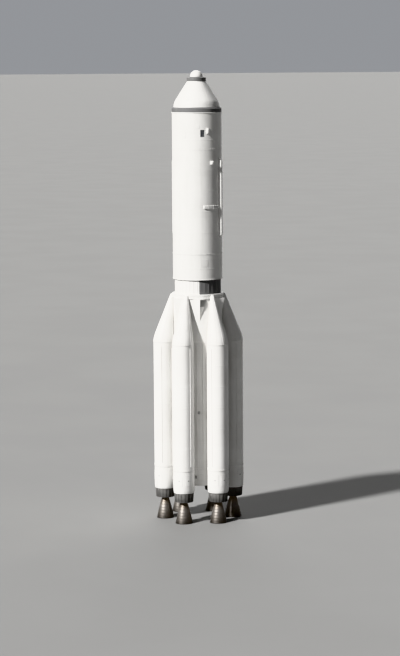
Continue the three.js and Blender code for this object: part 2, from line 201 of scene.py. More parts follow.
class Value:
    """A number on a shader or geometry tree, which Python's operators combine by Math nodes."""

    def __init__(self, desk: "Desk", socket: bpy.types.NodeSocket) -> None:
        """Wraps one output socket of a desk's tree."""
        self.desk = desk
        self.socket = socket

    def math(self, operation: str, other: "Value | float" = 0.0) -> "Value":
        """Adds a Math node.

        Args:
            operation: The node's operation, such as MULTIPLY.
            other: The second number.

        Returns:
            The node's result.
        """
        node = self.desk.add("ShaderNodeMath", {"operation": operation}, {0: self, 1: other})
        return Value(self.desk, node.outputs[0])

    def __add__(self, other: "Value | float") -> "Value":
        """Adds."""
        return self.math("ADD", other)

    __radd__ = __add__

    def __sub__(self, other: "Value | float") -> "Value":
        """Takes away."""
        return self.math("SUBTRACT", other)

    def __rsub__(self, other: float) -> "Value":
        """Takes this away from a plain number."""
        node = self.desk.add("ShaderNodeMath", {"operation": "SUBTRACT"}, {0: other, 1: self})
        return Value(self.desk, node.outputs[0])

    def __mul__(self, other: "Value | float") -> "Value":
        """Multiplies."""
        return self.math("MULTIPLY", other)

    __rmul__ = __mul__

    def __truediv__(self, other: "Value | float") -> "Value":
        """Divides."""
        return self.math("DIVIDE", other)

    def ramp(self, low: float, high: float) -> "Value":
        """Rises from 0 at low to 1 at high with soft ends.

        Args:
            low: Where it starts to rise.
            high: Where it has risen.

        Returns:
            The new number.
        """
        node = self.desk.add(
            "ShaderNodeMapRange",
            {"interpolation_type": "SMOOTHSTEP", "clamp": True},
            {"Value": self, "From Min": low, "From Max": high},
        )
        return Value(self.desk, node.outputs[0])


class Desk:
    """Builds one node tree, of a material or of Geometry Nodes."""

    def __init__(self, tree: bpy.types.NodeTree) -> None:
        """Takes the tree to build in."""
        self.tree = tree

    def add(
        self,
        kind: str,
        settings: dict[str, object] | None = None,
        values: dict[int | str, object] | None = None,
    ) -> bpy.types.Node:
        """Adds any node: its settings first, then the values or links of its sockets.

        Args:
            kind: The node's type.
            settings: The node's own properties, and stops for a colour ramp.
            values: What feed takes, for each input by its index, identifier or name.

        Returns:
            The node.
        """
        node = self.tree.nodes.new(kind)
        for name, setting in (settings or {}).items():
            if name == "stops":
                self.set_stops(node, setting)
            else:
                setattr(node, name, setting)
        for key, value in (values or {}).items():
            self.feed(self.find_input(node, key), value)
        return node

    def feed(self, socket: bpy.types.NodeSocket, value: object) -> None:
        """Links an input to a Value, a socket or a node's first output, or sets it to anything else.

        Args:
            socket: The input.
            value: What it takes.
        """
        source = value.socket if isinstance(value, Value) else value
        if isinstance(source, bpy.types.Node):
            source = source.outputs[0]
        if isinstance(source, bpy.types.NodeSocket):
            self.tree.links.new(source, socket)
        else:
            socket.default_value = source

    @staticmethod
    def find_input(node: bpy.types.Node, key: int | str) -> bpy.types.NodeSocket:
        """Finds an input socket by its index, identifier or name."""
        by_identifier = {socket.identifier: socket for socket in node.inputs}
        return by_identifier[key] if key in by_identifier else node.inputs[key]

    @staticmethod
    def set_stops(node: bpy.types.Node, stops: Sequence[tuple[float, Colour]]) -> None:
        """Sets a colour ramp's stops, given as positions with colours.

        Args:
            node: The ramp.
            stops: The stops, in rising order.
        """
        elements = node.color_ramp.elements
        while len(elements) < len(stops):
            elements.new(1.0)
        for element, (position, colour) in zip(elements, stops):
            element.position = position
            element.color = (*colour, 1.0)


class Surface(Desk):
    """Builds one material's nodes on Object coordinates."""

    def __init__(self, name: str) -> None:
        """Starts a material with its shader and its coordinates.

        Args:
            name: The material's name.
        """
        self.material = bpy.data.materials.new(name)
        self.material.use_nodes = True
        super().__init__(self.material.node_tree)
        self.tree.nodes.clear()
        self.shader = self.add("ShaderNodeBsdfPrincipled")
        self.add("ShaderNodeOutputMaterial", values={"Surface": self.shader})
        self.place = self.add("ShaderNodeTexCoord").outputs["Object"]
        axes = self.add("ShaderNodeSeparateXYZ", values={0: self.place})
        self.z = Value(self, axes.outputs[2])

    def set(self, name: str, value: object) -> None:
        """Sets or links one socket of the shader."""
        self.feed(self.shader.inputs[name], value)

    def noise(self, scale: float, detail: float = 3.0, stretch: Colour = (1.0, 1.0, 1.0)) -> Value:
        """Adds a noise texture.

        Args:
            scale: Cells to the metre.
            detail: How many finer layers it has.
            stretch: How the coordinates are scaled along each axis first.

        Returns:
            The noise, about 0.5 on average.
        """
        mapping = self.add("ShaderNodeMapping", values={"Vector": self.place, "Scale": stretch})
        node = self.add("ShaderNodeTexNoise", values={"Vector": mapping, "Scale": scale, "Detail": detail})
        return Value(self, node.outputs[0])

    def cells(self, pitch: float) -> Value:
        """Gives each level, one pitch tall, its own number from 0 to 1.

        Args:
            pitch: A level's height.

        Returns:
            The number.
        """
        level = (self.z / pitch).math("FLOOR")
        node = self.add("ShaderNodeTexWhiteNoise", {"noise_dimensions": "1D"}, {"W": level})
        return Value(self, node.outputs["Value"])

    def mix(self, first: object, second: object, share: Value) -> bpy.types.NodeSocket:
        """Mixes two colours, the second by its share.

        Args:
            first: A plain colour, a socket or a node.
            second: The other one.
            share: How much of the second it takes.

        Returns:
            The mixed colour.
        """
        node = self.add(
            "ShaderNodeMix",
            {"data_type": "RGBA", "clamp_factor": True},
            {"Factor_Float": share, "A_Color": self.colour(first), "B_Color": self.colour(second)},
        )
        return next(out for out in node.outputs if out.identifier == "Result_Color")

    @staticmethod
    def colour(value: object) -> object:
        """Gives a plain colour its fourth number, and leaves anything else alone."""
        return (*value, 1.0) if isinstance(value, tuple) else value

    def bump(self, height: Value, distance: float) -> None:
        """Adds a Bump node from a height in the unit of its distance, in metres."""
        node = self.add("ShaderNodeBump", values={"Height": height, "Distance": distance})
        self.set("Normal", node)


@dataclass(frozen=True)
class SkinPaint:
    """Satin paint on sheet metal: tone by plate, soft mottling, run-off streaks and some soot."""

    name: str
    tone: Colour
    stained: Colour
    roughness: float = 0.5
    plate_pitch: float = 1.75
    soot_top: float = -10.0
    soot_tone: Colour = (0.11, 0.105, 0.1)
    soot_fade: float = 1.6
    relief: float = 0.012

    def make(self) -> bpy.types.Material:
        """Builds the material.

        Returns:
            The material.
        """
        desk = Surface(self.name)
        mottle = desk.noise(0.55, 5.0).ramp(0.38, 0.72)
        runs = desk.noise(2.4, 4.0, (1.0, 1.0, 0.07)).ramp(0.5, 0.8)
        grime = desk.noise(9.0, 4.0, (1.0, 1.0, 0.3)).ramp(0.55, 0.85)
        plate = desk.cells(self.plate_pitch)
        wear = mottle * 0.3 + runs * 0.36 + grime * 0.16 + plate * 0.12
        soot = (self.soot_top - desk.z).ramp(0.0, self.soot_fade) * (0.25 + 0.75 * runs)
        painted = desk.mix(self.tone, self.stained, wear)
        desk.set("Base Color", desk.mix(painted, self.soot_tone, soot * 0.55))
        desk.set("Roughness", self.roughness + 0.16 * mottle - 0.08 * runs)
        waves = desk.noise(1.3, 2.0, (1.0, 1.0, 0.6))
        orange_peel = desk.noise(60.0, 2.0)
        desk.bump(waves * 0.85 + orange_peel * 0.06, self.relief)
        return desk.material


@dataclass(frozen=True)
class BandedSteel:
    """Bell steel: heat tints by height below the throat, brushed round, dulled by soot."""

    name: str
    throat: float
    exit: float
    soot_tone: Colour = (0.05, 0.047, 0.044)
    relief: float = 0.0015
    tints: tuple[tuple[float, Colour], ...] = (
        # share of the way from the exit to the throat, colour
        (0.0, (0.07, 0.064, 0.058)), (0.2, (0.17, 0.155, 0.14)), (0.5, (0.3, 0.28, 0.26)),
        (0.78, (0.25, 0.21, 0.17)), (1.0, (0.2, 0.2, 0.21)),
    )

    def make(self) -> bpy.types.Material:
        """Builds the material.

        Returns:
            The material.
        """
        desk = Surface(self.name)
        along = (desk.z - self.exit) / (self.throat - self.exit)
        drift = desk.noise(3.0, 4.0)
        warped = along + 0.1 * drift - 0.05
        tinted = desk.add("ShaderNodeValToRGB", {"stops": self.tints}, {0: warped})
        streaks = desk.noise(14.0, 3.0, (1.0, 1.0, 0.12)).ramp(0.45, 0.8)
        desk.set("Base Color", desk.mix(tinted, self.soot_tone, streaks * 0.55))
        desk.set("Metallic", 0.85 - 0.35 * streaks)
        desk.set("Roughness", 0.36 + 0.22 * drift)
        desk.bump(desk.noise(4.0, 3.0, (1.0, 1.0, 40.0)), self.relief)
        return desk.material


@dataclass(frozen=True)
class Soot:
    """Dull carbon on what the flame touches, paler where it has flaked."""

    name: str
    tone: Colour = (0.016, 0.015, 0.015)
    washed: Colour = (0.05, 0.047, 0.045)
    flaked: Colour = (0.14, 0.13, 0.12)
    relief: float = 0.003

    def make(self) -> bpy.types.Material:
        """Builds the material.

        Returns:
            The material.
        """
        desk = Surface(self.name)
        flakes = desk.noise(7.0, 6.0, (1.0, 1.0, 0.35)).ramp(0.52, 0.7)
        runs = desk.noise(18.0, 3.0, (1.0, 1.0, 0.08)).ramp(0.4, 0.75)
        desk.set("Base Color", desk.mix(desk.mix(self.tone, self.washed, runs), self.flaked, flakes * 0.6))
        desk.set("Roughness", 0.72 + 0.15 * flakes)
        desk.set("Metallic", 0.25 * flakes)
        desk.bump(flakes, self.relief)
        return desk.material


@dataclass(frozen=True)
class HeatCoat:
    """Dark fibrous coating over a shield, scorched towards its foot."""

    name: str
    foot: float
    top: float
    tone: Colour = (0.17, 0.166, 0.16)
    patched: Colour = (0.1, 0.098, 0.095)
    scorched: Colour = (0.03, 0.029, 0.028)
    relief: float = 0.004

    def make(self) -> bpy.types.Material:
        """Builds the material.

        Returns:
            The material.
        """
        desk = Surface(self.name)
        weave = desk.noise(45.0, 3.0, (1.0, 1.0, 2.2))
        patches = desk.noise(2.2, 4.0).ramp(0.4, 0.7)
        scorch = (self.top - desk.z).ramp(0.0, self.top - self.foot)
        base = desk.mix(self.tone, self.patched, patches)
        desk.set("Base Color", desk.mix(base, self.scorched, scorch * 0.7))
        desk.set("Roughness", 0.68 + 0.2 * weave)
        desk.bump(weave, self.relief)
        return desk.material


@dataclass(frozen=True)
class BareAlloy:
    """Bare light alloy with a rubbed, slightly uneven finish."""

    name: str
    tone: Colour
    roughness: float = 0.4
    relief: float = 0.0008

    def make(self) -> bpy.types.Material:
        """Builds the material.

        Returns:
            The material.
        """
        desk = Surface(self.name)
        rub = desk.noise(12.0, 5.0).ramp(0.35, 0.75)
        darker = tuple(0.55 * part for part in self.tone)
        desk.set("Base Color", desk.mix(self.tone, darker, rub * 0.6))
        desk.set("Metallic", 0.75 - 0.25 * rub)
        desk.set("Roughness", self.roughness + 0.2 * rub)
        desk.bump(desk.noise(80.0, 2.0), self.relief)
        return desk.material


@dataclass(frozen=True)
class DarkGlass:
    """A dark coated window with a clear gloss and a little dust."""

    name: str
    tone: Colour = (0.06, 0.064, 0.07)
    dusty: Colour = (0.2, 0.2, 0.19)
    coat_roughness: float = 0.04

    def make(self) -> bpy.types.Material:
        """Builds the material.

        Returns:
            The material.
        """
        desk = Surface(self.name)
        dust = desk.noise(6.0, 5.0).ramp(0.45, 0.8)
        desk.set("Base Color", desk.mix(self.tone, self.dusty, dust * 0.5))
        desk.set("Roughness", 0.06 + 0.25 * dust)
        desk.set("Coat Roughness", self.coat_roughness)
        desk.set("Coat Weight", 0.8 - 0.5 * dust)
        return desk.material


@dataclass(frozen=True)
class FloorFinish:
    """Pale studio floor with a faint unevenness."""

    name: str
    tone: Colour = (0.243, 0.243, 0.241)
    paler: Colour = (0.252, 0.252, 0.25)
    roughness: float = 0.85

    def make(self) -> bpy.types.Material:
        """Builds the material.

        Returns:
            The material.
        """
        desk = Surface(self.name)
        desk.set("Base Color", desk.mix(self.tone, self.paler, desk.noise(0.08, 3.0).ramp(0.3, 0.7)))
        desk.set("Roughness", self.roughness)
        return desk.material


class Finishes:
    """Every material of the rocket, made once."""

    def __init__(self, sizes: Sizes) -> None:
        """Makes the materials.

        Args:
            sizes: The rocket's sizes, which place the soot and the heat tints.
        """
        white, stained = (0.8, 0.795, 0.78), (0.6, 0.59, 0.57)
        upper, upper_stained = (0.72, 0.715, 0.7), (0.53, 0.525, 0.51)
        core, core_stained = (0.74, 0.735, 0.72), (0.55, 0.54, 0.52)
        side_soot, core_soot = sizes.skirt_bottom + 1.1, sizes.skirt_bottom + 1.6
        self.white = SkinPaint("white_skin", white, stained, 0.46, 1.9).make()
        self.upper_white = SkinPaint("upper_skin", upper, upper_stained, 0.46, 1.72).make()
        self.side_white = SkinPaint("side_block_skin", white, stained, 0.5, 1.75, side_soot).make()
        self.core_white = SkinPaint("core_skin", core, core_stained, 0.55, 2.1, core_soot).make()
        self.dark = SkinPaint("dark_band_paint", (0.13, 0.13, 0.132), (0.19, 0.188, 0.185), 0.55).make()
        self.grey = SkinPaint("collar_paint", (0.14, 0.14, 0.14), (0.2, 0.198, 0.195)).make()
        # Mid-grey paint of the louvred plates on the brackets: painted shade, a grey sheet where the
        # brackets' shadow falls.
        self.painted_shade_grey = SkinPaint("painted_shade_louvre_paint", (0.34, 0.34, 0.335), (0.24, 0.238, 0.23), 0.55).make()
        self.shield = HeatCoat("shield_coating", sizes.shield_bottom, sizes.skirt_bottom).make()
        self.steel = BandedSteel("bell_steel", BELL_THROAT, sizes.nozzle_exit).make()
        self.soot = Soot("flame_soot").make()
        self.alloy = BareAlloy("bare_alloy", (0.42, 0.42, 0.41), 0.42).make()
        self.bolt = BareAlloy("fastener_steel", (0.3, 0.295, 0.29), 0.35).make()
        self.glass = DarkGlass("sensor_glass").make()


@dataclass(frozen=True)
class Plate:
    """A plate with round corners on a round skin: a door, a hatch, a cover or a tray.

    Its azimuth is its middle, seen from the skin's own axis, and its lift is how far it stands proud.
    """

    azimuth: float
    low: float
    high: float
    width: float
    lift: float = 0.012
    corner: float = 0.04
    finish: int = 0

    def moved(self, azimuth: float, rise: float = 0.0) -> "Plate":
        """Gives the same plate further round by an azimuth and higher up by a rise."""
        return replace(self, azimuth=self.azimuth + azimuth, low=self.low + rise, high=self.high + rise)

    def loops(self, radius: float, centre: Vector, shrink: float, level: float) -> list[list[Vector]]:
        """Gives its upper and its lower edge at a level over the skin, from left to right.

        Args:
            radius: The skin's radius.
            centre: A point on the skin's axis.
            shrink: How far the edges are moved in all round.
            level: The level over the skin.

        Returns:
            The two edges.
        """
        middle, bend = (self.low + self.high) / 2, self.corner - shrink
        half_w, half_h = self.width / 2 - shrink, (self.high - self.low) / 2 - shrink
        straight = half_w - bend
        bends = [straight + bend * math.sin(math.pi * k / 10) for k in range(6)]
        inside = spread(-straight, straight, max(3, int(self.width / 0.06)))[1:-1]
        top, bottom = [], []
        for u in [*(-u for u in reversed(bends)), *inside, *bends]:
            over = max(0.0, abs(u) - straight)
            v = half_h - bend + math.sqrt(max(0.0, bend * bend - over * over))
            turn = self.azimuth + math.degrees(u / radius)
            top.append(centre + polar(turn, radius + level, middle + v))
            bottom.append(centre + polar(turn, radius + level, middle - v))
        return [top, bottom]

    def screws(self, radius: float, centre: Vector = AXIS) -> Places:
        """Gives screw places round its edge.

        Args:
            radius: The skin's radius.
            centre: A point on the skin's axis.

        Returns:
            The places with their outward directions.
        """
        inset, level = 0.035, 0.012
        half, low, high = self.width / 2 - inset, self.low + inset, self.high - inset
        spots = [(u, v) for u in spread(-half, half, 5) for v in (low, high)]
        spots += [(u, v) for u in (-half, half) for v in spread(low, high, 6)[1:-1]]
        places = []
        for across, height in spots:
            turn = self.azimuth + math.degrees(across / radius)
            places.append((centre + polar(turn, radius + level, height), polar(turn, 1.0, 0.0)))
        return places


class Draft:
    """Gathers one piece's closed shapes, each with its finish, and turns them into an object."""

    def __init__(self, name: str, *finishes: bpy.types.Material) -> None:
        """Starts an empty piece with the finishes that its shapes choose from.

        Args:
            name: The piece's name.
            finishes: Its finishes, which shapes name by their number.
        """
        self.name = name
        self.finishes = finishes
        self.mesh = bmesh.new()

    def rows(
        self,
        rows: Sequence[Sequence[Vector]],
        finish: int = 0,
        around: bool = True,
        ring: bool = False,
        caps: bool = False,
    ) -> None:
        """Joins rows of points with faces.

        Args:
            rows: The rows, each of one point for a pole or else all of one length.
            finish: Which finish the faces take.
            around: Whether each row closes on itself.
            ring: Whether the last row joins the first.
            caps: Whether the first and last rows are filled.
        """
        made = [[self.mesh.verts.new(point) for point in row] for row in rows]
        pairs = list(zip(made, made[1:]))
        if ring:
            pairs.append((made[-1], made[0]))
        faces = []
        for low, high in pairs:
            count = max(len(low), len(high))
            for i in range(count if around else count - 1):
                after = (i + 1) % count
                corners = [low[i % len(low)], low[after % len(low)]]
                corners += [high[after % len(high)], high[i % len(high)]]
                unique = list(dict.fromkeys(corners))
                if len(unique) >= 3:
                    faces.append(self.mesh.faces.new(unique))
        if caps:
            ends = (list(reversed(made[0])), made[-1])
            faces += [self.mesh.faces.new(end) for end in ends if len(end) >= 3]
        for face in faces:
            face.material_index = finish

    def lathe(
        self,
        profile: Profile,
        quality: Quality,
        centre: Vector = AXIS,
        finish: int = 0,
        moves: Sequence[Filter] | Filter = untouched,
    ) -> None:
        """Turns a profile about a vertical axis.

        Args:
            profile: Distances from the axis with heights, which end on the axis or close.
            quality: The facets around.
            centre: A point on the axis.
            finish: Which finish the faces take.
            moves: A filter for every point, or one for each point of the profile.
        """
        rows = []
        for i, (radius, height) in enumerate(profile):
            move = moves if callable(moves) else moves[i]
            base = Vector((centre.x, centre.y, height))
            if radius < MERGE:
                rows.append([base])
            else:
                rows.append([move(point) for point in circle(base, radius, quality.value)])
        self.rows(rows, finish, ring=profile[0][0] > MERGE)

    def plate(self, plate: Plate, radius: float, centre: Vector = AXIS, sink: float = 0.01) -> None:
        """Adds a plate that follows a round skin.

        Args:
            plate: The plate.
            radius: The skin's radius.
            centre: A point on the skin's axis.
            sink: How far it reaches into the skin.
        """
        lift, finish = plate.lift, plate.finish
        slope = min(0.3 * lift, 0.2 * plate.corner, 0.006)
        sections = ((0.0, -sink), (0.0, lift - slope), (slope, lift))
        levels = [plate.loops(radius, centre, shrink, level) for shrink, level in sections]
        self.rows([top + list(reversed(bottom)) for top, bottom in levels], finish)
        for top, bottom in (levels[0], levels[-1]):
            self.rows([bottom, top], finish, around=False)

    def pipe(self, path: Sequence[Vector], radius: float, sides: int, finish: int = 0) -> None:
        """Sweeps a round section along points.

        Args:
            path: The points along the middle.
            radius: The section's radius.
            sides: The section's sides.
            finish: Which finish it takes.
        """
        rows = []
        side = UP
        for i, point in enumerate(path):
            ahead = (path[min(i + 1, len(path) - 1)] - path[max(i - 1, 0)]).normalized()
            across = ahead.cross(side).normalized()
            side = across.cross(ahead).normalized()
            turns = full_turn(sides)
            rows.append([point + radius * (math.cos(t) * across + math.sin(t) * side) for t in turns])
        self.rows(rows, finish, caps=True)

    def bar(
        self, low: Vector, high: Vector, turn: Matrix, chamfer: float = 0.008, finish: int = 0
    ) -> None:
        """Adds a box with chamfered edges.

        Args:
            low: Its lowest corner before it is placed.
            high: Its highest corner.
            turn: The matrix that places it.
            chamfer: The width of its chamfers.
            finish: Which finish it takes.
        """
        place = turn @ Matrix.Translation((low + high) / 2) @ Matrix.Diagonal((*(high - low), 1.0))
        made = bmesh.ops.create_cube(self.mesh, size=1.0, matrix=place)
        edges = dict.fromkeys(edge for vert in made["verts"] for edge in vert.link_edges)
        cut = bmesh.ops.bevel(
            self.mesh, geom=list(edges), offset=chamfer, segments=2, profile=0.5, affect="EDGES"
        )
        faces = [*cut["faces"], *(face for vert in cut["verts"] for face in vert.link_faces)]
        for face in faces:
            face.material_index = finish

    def done(self) -> bpy.types.Object:
        """Closes the piece and makes its object, at the origin.

        Returns:
            The object.
        """
        bmesh.ops.remove_doubles(self.mesh, verts=self.mesh.verts, dist=MERGE)
        bmesh.ops.recalc_face_normals(self.mesh, faces=self.mesh.faces)
        data = bpy.data.meshes.new(self.name)
        self.mesh.to_mesh(data)
        self.mesh.free()
        for finish in self.finishes:
            data.materials.append(finish)
        data.shade_smooth()
        data.set_sharp_from_angle(angle=SHARP_EDGE)
        return placed(self.name, data)


class Head(Enum):
    """What a repeat tree sets on each of its points."""

    BOLT = "bolt"
    RIB = "rib"


class Repeat:
    """A Geometry Nodes tree that sets a small head or rib on each point and faces it outwards."""

    def __init__(self, head: Head) -> None:
        """Builds the tree for one kind of head.

        Args:
            head: The kind of head.
        """
        self.tree = bpy.data.node_groups.new(f"set_{head.value}s", "GeometryNodeTree")
        desk, interface = Desk(self.tree), self.tree.interface
        kinds = {"Geometry": "Geometry", "Finish": "Material"}
        for name in ("Geometry", "Width", "Height", "Depth", "Finish"):
            kind = f"NodeSocket{kinds.get(name, 'Float')}"
            interface.new_socket(name=name, in_out="INPUT", socket_type=kind)
        interface.new_socket(name="Geometry", in_out="OUTPUT", socket_type="NodeSocketGeometry")
        given = desk.add("NodeGroupInput").outputs
        width, height, depth = (Value(desk, given[name]) for name in ("Width", "Height", "Depth"))
        if head is Head.BOLT:
            shape = self.bolt_shape(desk, width, depth)
        else:
            shape = self.rib_shape(desk, width, height, depth)
        rising, facing = (
            desk.add("GeometryNodeInputNamedAttribute", {"data_type": "FLOAT_VECTOR"}, {"Name": name})
            for name in ("rising", "facing")
        )
        align = "FunctionNodeAlignRotationToVector"
        upright = desk.add(align, {"axis": "Z", "pivot_axis": "AUTO"}, {"Vector": rising})
        turn = desk.add(align, {"axis": "X", "pivot_axis": "Z"}, {"Rotation": upright, "Vector": facing})
        points = desk.add("GeometryNodeMeshToPoints", values={"Mesh": given["Geometry"], "Radius": 0.01})
        ways = {"Points": points, "Instance": shape, "Rotation": turn}
        set_out = desk.add("GeometryNodeInstanceOnPoints", values=ways)
        real = desk.add("GeometryNodeRealizeInstances", values={"Geometry": set_out})
        dressing = {"Geometry": real, "Material": given["Finish"]}
        dressed = desk.add("GeometryNodeSetMaterial", values=dressing)
        desk.add("NodeGroupOutput", values={0: dressed})

    @staticmethod
    def bolt_shape(desk: Desk, width: Value, depth: Value) -> bpy.types.Node:
        """Makes a six-sided head that stands out along +X.

        Args:
            desk: The tree.
            width: Its width across.
            depth: Its depth along X.

        Returns:
            The head.
        """
        counts = {"Vertices": 6, "Side Segments": 1, "Fill Segments": 1}
        sizes = {"Radius Top": width * 0.42, "Radius Bottom": width * 0.5, "Depth": depth}
        head = desk.add("GeometryNodeMeshCone", {"fill_type": "NGON"}, {**counts, **sizes})
        lying = {"Geometry": head, "Rotation": (0.0, math.pi / 2, 0.0)}
        return desk.add("GeometryNodeTransform", values=lying)

    @staticmethod
    def rib_shape(desk: Desk, width: Value, height: Value, depth: Value) -> bpy.types.Node:
        """Makes an upright rib: Depth along X, Width along Y and Height along Z."""
        size = desk.add("ShaderNodeCombineXYZ", values={0: depth, 1: width, 2: height})
        return desk.add("GeometryNodeMeshCube", values={"Size": size})

    def set_on(
        self,
        name: str,
        places: Places,
        finish: bpy.types.Material,
        width: float,
        depth: float,
        height: float = 0.0,
    ) -> bpy.types.Object:
        """Runs the tree on points and keeps its result as a plain mesh.

        Args:
            name: The new piece's name.
            places: Points with the directions that they face.
            finish: The material.
            width: A head's width across, or a rib's along the skin.
            depth: How far it reaches, half of it below the point.
            height: A rib's height.

        Returns:
            The new object.
        """
        points, facings = zip(*places)
        data = bpy.data.meshes.new(name)
        data.from_pydata([tuple(point) for point in points], [], [])
        risings = [(UP - facing * UP.dot(facing)).normalized() for facing in facings]
        for label, vectors in (("facing", facings), ("rising", risings)):
            attribute = data.attributes.new(label, "FLOAT_VECTOR", "POINT")
            attribute.data.foreach_set("vector", [part for one in vectors for part in one])
        carrier = placed(name, data)
        modifier = carrier.modifiers.new("repeat", "NODES")
        modifier.node_group = self.tree
        inputs = {"Width": width, "Height": height, "Depth": depth, "Finish": finish}
        for item in self.tree.interface.items_tree:
            if item.in_out == "INPUT" and item.name in inputs:
                modifier[item.identifier] = inputs[item.name]
        graph = bpy.context.evaluated_depsgraph_get()
        result = bpy.data.meshes.new_from_object(carrier.evaluated_get(graph), depsgraph=graph)
        bpy.data.objects.remove(carrier)
        bpy.data.meshes.remove(data)
        result.name = name
        return placed(name, result)


class Slot(Enum):
    """The record's material slots, passed along with pieces; fit does not use them."""

    WHITE = "white_paint"
    DARK = "dark_paint"
    METAL = "engine_metal"
    SHIELD = "heat_shield"


class Fastener(Enum):
    """The heads in use, each its width across and its depth, half of it under the surface."""

    BLISTER_SCREW = (0.016, 0.012)
    CONE_RIVET = (0.016, 0.014)
    TANK_RIVET = (0.018, 0.014)
    NOSE_RIVET = (0.018, 0.016)
    BRACKET_RIVET = (0.02, 0.016)
    JOINT_SCREW = (0.02, 0.018)
    DOOR_SCREW = (0.02, 0.02)
    PANEL_SCREW = (0.022, 0.02)
    BOLT = (0.022, 0.03)
    FRAME_BOLT = (0.035, 0.04)


@dataclass
class Assembly:
    """A sub-assembly of the rocket, with what all of them need and the steps that they share."""

    sizes: Sizes
    paint: Finishes
    bolts: Repeat
    ribs: Repeat

    @staticmethod
    def fit(
        piece: bpy.types.Object, *nodes: str, slot: Slot = Slot.WHITE, body: str = ROCKET_BODY
    ) -> None:
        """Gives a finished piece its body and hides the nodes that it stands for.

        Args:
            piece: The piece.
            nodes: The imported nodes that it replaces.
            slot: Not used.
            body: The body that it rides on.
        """
        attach(piece, body)
        if nodes:
            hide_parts(*nodes)
        LOG.info("%s: %d faces on %s", piece.name, len(piece.data.polygons), body)

    def fasten(
        self,
        name: str,
        places: Places,
        head: Fastener,
        finish: bpy.types.Material,
        slot: Slot = Slot.WHITE,
        body: str = ROCKET_BODY,
    ) -> None:
        """Sets heads of one kind on points and gives them to a body.

        Args:
            name: The new piece's name.
            places: Points with the directions that they face.
            head: The kind of head.
            finish: The material.
            slot: The record's material slot.
            body: The body that the heads ride on.
        """
        width, depth = head.value
        self.fit(self.bolts.set_on(name, places, finish, width, depth), slot=slot, body=body)

    @staticmethod
    def ring_places(
        radius: float,
        height: float,
        count: int,
        centre: Vector = AXIS,
        keep_out: float = 0.0,
        start: float = 0.0,
    ) -> Places:
        """Gives points round a ring with their outward directions.

        Args:
            radius: The ring's radius.
            height: Its height.
            count: How many points go round.
            centre: A point on the ring's axis.
            keep_out: The distance from the rocket's axis within which a point is left out.
            start: The first point's azimuth.

        Returns:
            The points and directions.
        """
        places = []
        for i in range(count):
            out = polar(start + 360.0 * i / count, 1.0, 0.0)
            point = centre + out * radius + UP * height
            if math.hypot(point.x, point.y) > keep_out:
                places.append((point, out))
        return places

    def blister(self, node: str, azimuth: float, width: float, reach: float) -> None:
        """Builds a rounded blister on the upper skin.

        Args:
            node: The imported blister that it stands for.
            azimuth: Its middle.
            width: Its width along the skin.
            reach: How far it stands out.
        """
        paint, radius = self.paint, self.sizes.core_r
        low, high = span(node)
        base = Plate(azimuth, low, high, width, 0.02, 0.08)
        draft = Draft(f"{node}_skin", paint.upper_white)
        draft.plate(base, radius, sink=-SEAM)
        middle, tall, wide = (low + high) / 2, (high - low) / 2 - 0.04, width / 2 - 0.03
        foot, squareness, sides = 0.012, 0.62, 36

        def bulge(part: float) -> float:
            """Rounds a box's corner: part is a sine or cosine."""
            return math.copysign(abs(part) ** squareness, part)

        rows = []
        for share in (0.0, 0.15, 0.35, 0.55, 0.75, 0.88, 0.96, 1.0):
            level = foot + (reach - foot) * math.sin(share * math.pi / 2) ** 0.8
            shrink = math.cos(share * math.pi / 2) ** 0.45 if share < 1.0 else 0.12
            ring = []
            for turn in full_turn(sides):
                u, v = wide * shrink * bulge(math.cos(turn)), tall * shrink * bulge(math.sin(turn))
                ring.append(polar(azimuth + math.degrees(u / radius), radius + level, middle + v))
            rows.append(ring)
        draft.rows(rows, caps=True)
        self.fit(draft.done(), node)
        lifted = [(point + facing * 0.008, facing) for point, facing in base.screws(radius)]
        self.fasten(f"{node}_screws", lifted, Fastener.BLISTER_SCREW, paint.upper_white)


def banded(
    radius: float, low: float, high: float, rings: Sequence[float], lift: float = 0.006
) -> list[tuple[float, float]]:
    """Gives the side of an upright skin with a raised weld ring at some heights.

    Args:
        radius: The skin's radius.
        low: The lower end.
        high: The upper end.
        rings: The heights of the rings, in rising order.
        lift: How far a ring stands proud.

    Returns:
        The profile from low to high.
    """
    half, crown, guard = 0.02, 0.008, 0.05
    side = [(radius, low)]
    for ring in rings:
        side += [(radius, max(low, ring - guard)), (radius, ring - half), (radius + lift, ring - crown)]
        side += [(radius + lift, ring + crown), (radius, ring + half), (radius, min(high, ring + guard))]
    return [*side, (radius, high)]


def weld_heights(low: float, high: float, pitch: float) -> list[float]:
    """Gives the heights of weld rings a pitch apart, counted from the lower end."""
    return [low + pitch * k for k in range(1, int((high - low) / pitch) + 1)]


def closed_skin(side: Sequence[tuple[float, float]]) -> list[tuple[float, float]]:
    """Closes an upright skin's profile with flat ends on the axis."""
    return [(0.0, side[0][1]), *side, (0.0, side[-1][1])]


@dataclass(frozen=True)
class Lip:
    """The joint lip that stands proud of a skin at its end."""

    height: float
    slope: float
    reach: float
    edge: float = 0.004
    guard: float = 0.03

    def rows(self, radius: float, end: float, way: int = -1) -> list[tuple[float, float]]:
        """Gives the lip's profile from the bare skin to its end.

        Args:
            radius: The skin's radius.
            end: The height where the skin ends.
            way: -1 for a lip below its end, as at a top, and 1 for a lip above it, as at a foot.

        Returns:
            The profile's points.
        """
        wide, crest = radius + self.reach, end + way * self.height
        start = crest + way * self.slope
        return [
            (radius, start + way * self.guard), (radius, start), (wide, crest),
            (wide, end + way * self.edge), (wide - self.edge, end),
        ]

    def length(self) -> float:
        """Gives how much of the skin the lip takes up."""
        return self.height + self.slope + self.guard


SIDE_LIP = Lip(0.1, 0.02, 0.012)
CORE_LIP = Lip(0.08, 0.02, 0.012)
PAYLOAD_LIP = Lip(0.07, 0.02, 0.03, 0.012)


